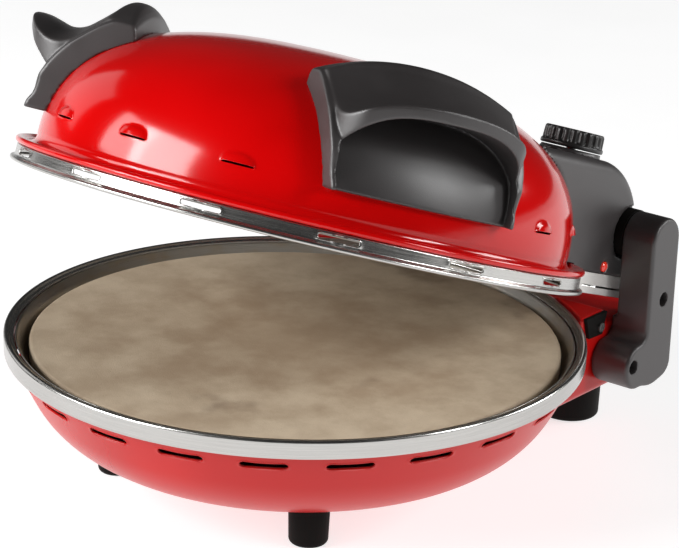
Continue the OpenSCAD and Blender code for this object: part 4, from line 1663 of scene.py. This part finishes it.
@dataclass(frozen=True)
class Softbox:
    """One rectangular studio light."""

    name: str
    place: Spot
    aim: Spot
    size: Pair
    power: float

    def build(self) -> None:
        """Makes the light."""
        light = bpy.data.lights.new(self.name, "AREA")
        light.shape = "RECTANGLE"
        light.size, light.size_y = self.size
        light.energy = self.power
        lamp = shown(self.name, light)
        lamp.location = self.place
        lamp.rotation_euler = (Vector(self.aim) - Vector(self.place)).to_track_quat("-Z", "Y").to_euler()


@dataclass(frozen=True)
class Studio:
    """Pale floor, soft lights and the camera at the photographed angle."""

    camera_at: Spot = (0.9136, -1.15165, 0.6325)
    camera_aim: Spot = (0.0122, 0.00465, 0.1204)
    roll_deg: float = 2.03
    lens_mm: float = 138.7
    ambient: float = 0.035
    lights: tuple[Softbox, ...] = (
        Softbox("key", (-0.86, -1.77, 1.02), (0, -0.05, 0.20), (1.05, 0.9), 38),
        Softbox("key_far", (-1.44, -1.37, 1.00), (0, -0.05, 0.20), (0.85, 0.85), 13),
        Softbox("side_left", (-1.95, 0.05, 0.85), (0, 0, 0.20), (0.9, 1.0), 2.4),
        Softbox("back_right", (1.35, 1.65, 0.85), (0, 0.1, 0.15), (0.9, 0.5), 15),
        Softbox("right", (1.95, 0.45, 1.15), (0.1, 0, 0.15), (0.4, 0.8), 17),
    )

    def camera(self) -> None:
        """Places the camera: it looks along its aim and is rolled about that line."""
        here, aim = Vector(self.camera_at), Vector(self.camera_aim)
        forward = (aim - here).normalized()
        level = forward.cross(Vector((0, 0, 1))).normalized()
        upright = level.cross(forward)
        roll = np.radians(self.roll_deg)
        c, s = float(np.cos(roll)), float(np.sin(roll))
        right = c * level + s * upright
        up = -s * level + c * upright
        data = bpy.data.cameras.new("camera")
        data.lens = self.lens_mm
        data.sensor_width = 36.0
        data.sensor_fit = "HORIZONTAL"
        data.clip_end = 50
        eye = shown("camera", data)
        turn = Matrix((right, up, -forward)).transposed().to_4x4()
        eye.matrix_world = Matrix.Translation(here) @ turn
        bpy.context.scene.camera = eye

    def floor(self) -> None:
        """A pale floor with a faint mottle."""
        net = Net("pale_floor")
        cloud = net.noise(net.place(), 6.0, 3.0)
        colour = net.mix(cloud.fade(0.3, 0.7), (0.50, 0.50, 0.50), (0.53, 0.53, 0.53))
        finish = net.surface(base_color=colour, roughness=0.9, specular_ior_level=0.1,
                             emission_color=(1.0, 1.0, 1.0), emission_strength=0.72)
        mesh = bpy.data.meshes.new("studio_floor")
        half = 6.0
        corners = [(x * half, y * half, 0) for x, y in ((-1, -1), (1, -1), (1, 1), (-1, 1))]
        mesh.from_pydata(corners, [], [(0, 1, 2, 3)])
        mesh.materials.append(finish)
        shown("studio_floor", mesh)

    def build(self) -> None:
        """Makes the studio."""
        world = bpy.data.worlds.new("studio")
        bpy.context.scene.world = world
        world.use_nodes = True
        background = world.node_tree.nodes["Background"].inputs
        background["Color"].default_value = (1.0, 1.0, 1.0, 1.0)
        background["Strength"].default_value = self.ambient
        for light in self.lights:
            light.build()
        self.camera()
        self.floor()
        view = bpy.context.scene.view_settings
        view.view_transform = "Standard"
        view.look = "None"


def make_finishes() -> dict[str, bpy.types.Material]:
    """All finishes by the record's slot, with the lid's own where a pattern is turned.

    Returns:
        The materials by name.
    """
    steel = (0.58, 0.57, 0.55)
    dull = (0.50, 0.48, 0.45)
    finishes = (
        Enamel("red_gloss_enamel", (0.60, 0.0, 0.0), (0.70, 0.0005, 0.001), 0.13, 0.0, True),
        Enamel("red_satin_enamel", (0.46, 0.004, 0.003), (0.54, 0.006, 0.005), 0.30, 0.0, False, 0.02, 0.35),
        BrushedSteel("brushed_band", steel, 0.20, False),
        BrushedSteel("lid_brushed_band", steel, 0.22, True),
        # the tray's steel colour is painted far paler than the band's: painted light on the tray, not a paler
        # metal
        BrushedSteel("tray_brushed_band", (0.95, 0.93, 0.90), 0.60, True, 0.004),
        BrushedSteel("reflector_steel", dull, 0.30, False, 0.01, 0.5),
        BrushedSteel("lid_reflector_steel", dull, 0.30, True, 0.01, 0.5),
        BakingStone(),
        HeatedSheath(),
        GrainedPlastic("dark_plastic", (0.030, 0.026, 0.026), 0.42, 0.02, 1500.0, 0.25, 0.8),
        GrainedPlastic("foot_plastic", (0.004, 0.0035, 0.003), 0.6, 0.01, 1900.0, 0.05, 0.08),
        KnobPlastic(),
        PlatedMetal("plated_steel", (0.66, 0.66, 0.64), 0.24),
        PlatedMetal("bush_brass", (0.72, 0.50, 0.22), 0.28),
        Chalky("terminal_ceramic", (0.80, 0.77, 0.68), (0.70, 0.66, 0.56), 380.0, 0.02, 0.62),
        Chalky("insulation_felt", (0.82, 0.80, 0.74), (0.62, 0.60, 0.54), 260.0, 0.5, 0.96, (1.0, 1.0, 0.25)),
        Chalky("wire_sleeve", (0.80, 0.79, 0.75), (0.60, 0.58, 0.54), 1400.0, 0.12, 0.8, (0.4, 1.0, 1.6)),
        Chalky("black_rubber", (0.030, 0.029, 0.028), (0.018, 0.018, 0.018), 700.0, 0.03, 0.72),
        LampLens(),
    )
    return {finish.name: finish.make() for finish in finishes}


def main() -> None:
    """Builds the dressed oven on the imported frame."""
    logging.basicConfig(level=logging.INFO, format="%(name)s %(message)s")
    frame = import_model()
    finishes = make_finishes()
    Studio().build()
    SmallParts(finishes, frame["nodes"]).finish_all(frame["record"])
    for assembly in (BaseBowl, BaseTop, Arms, LidShell, Handles, RearHousing, Knob):
        assembly(finishes, frame["nodes"]).build()


if __name__ == "__main__":
    main()
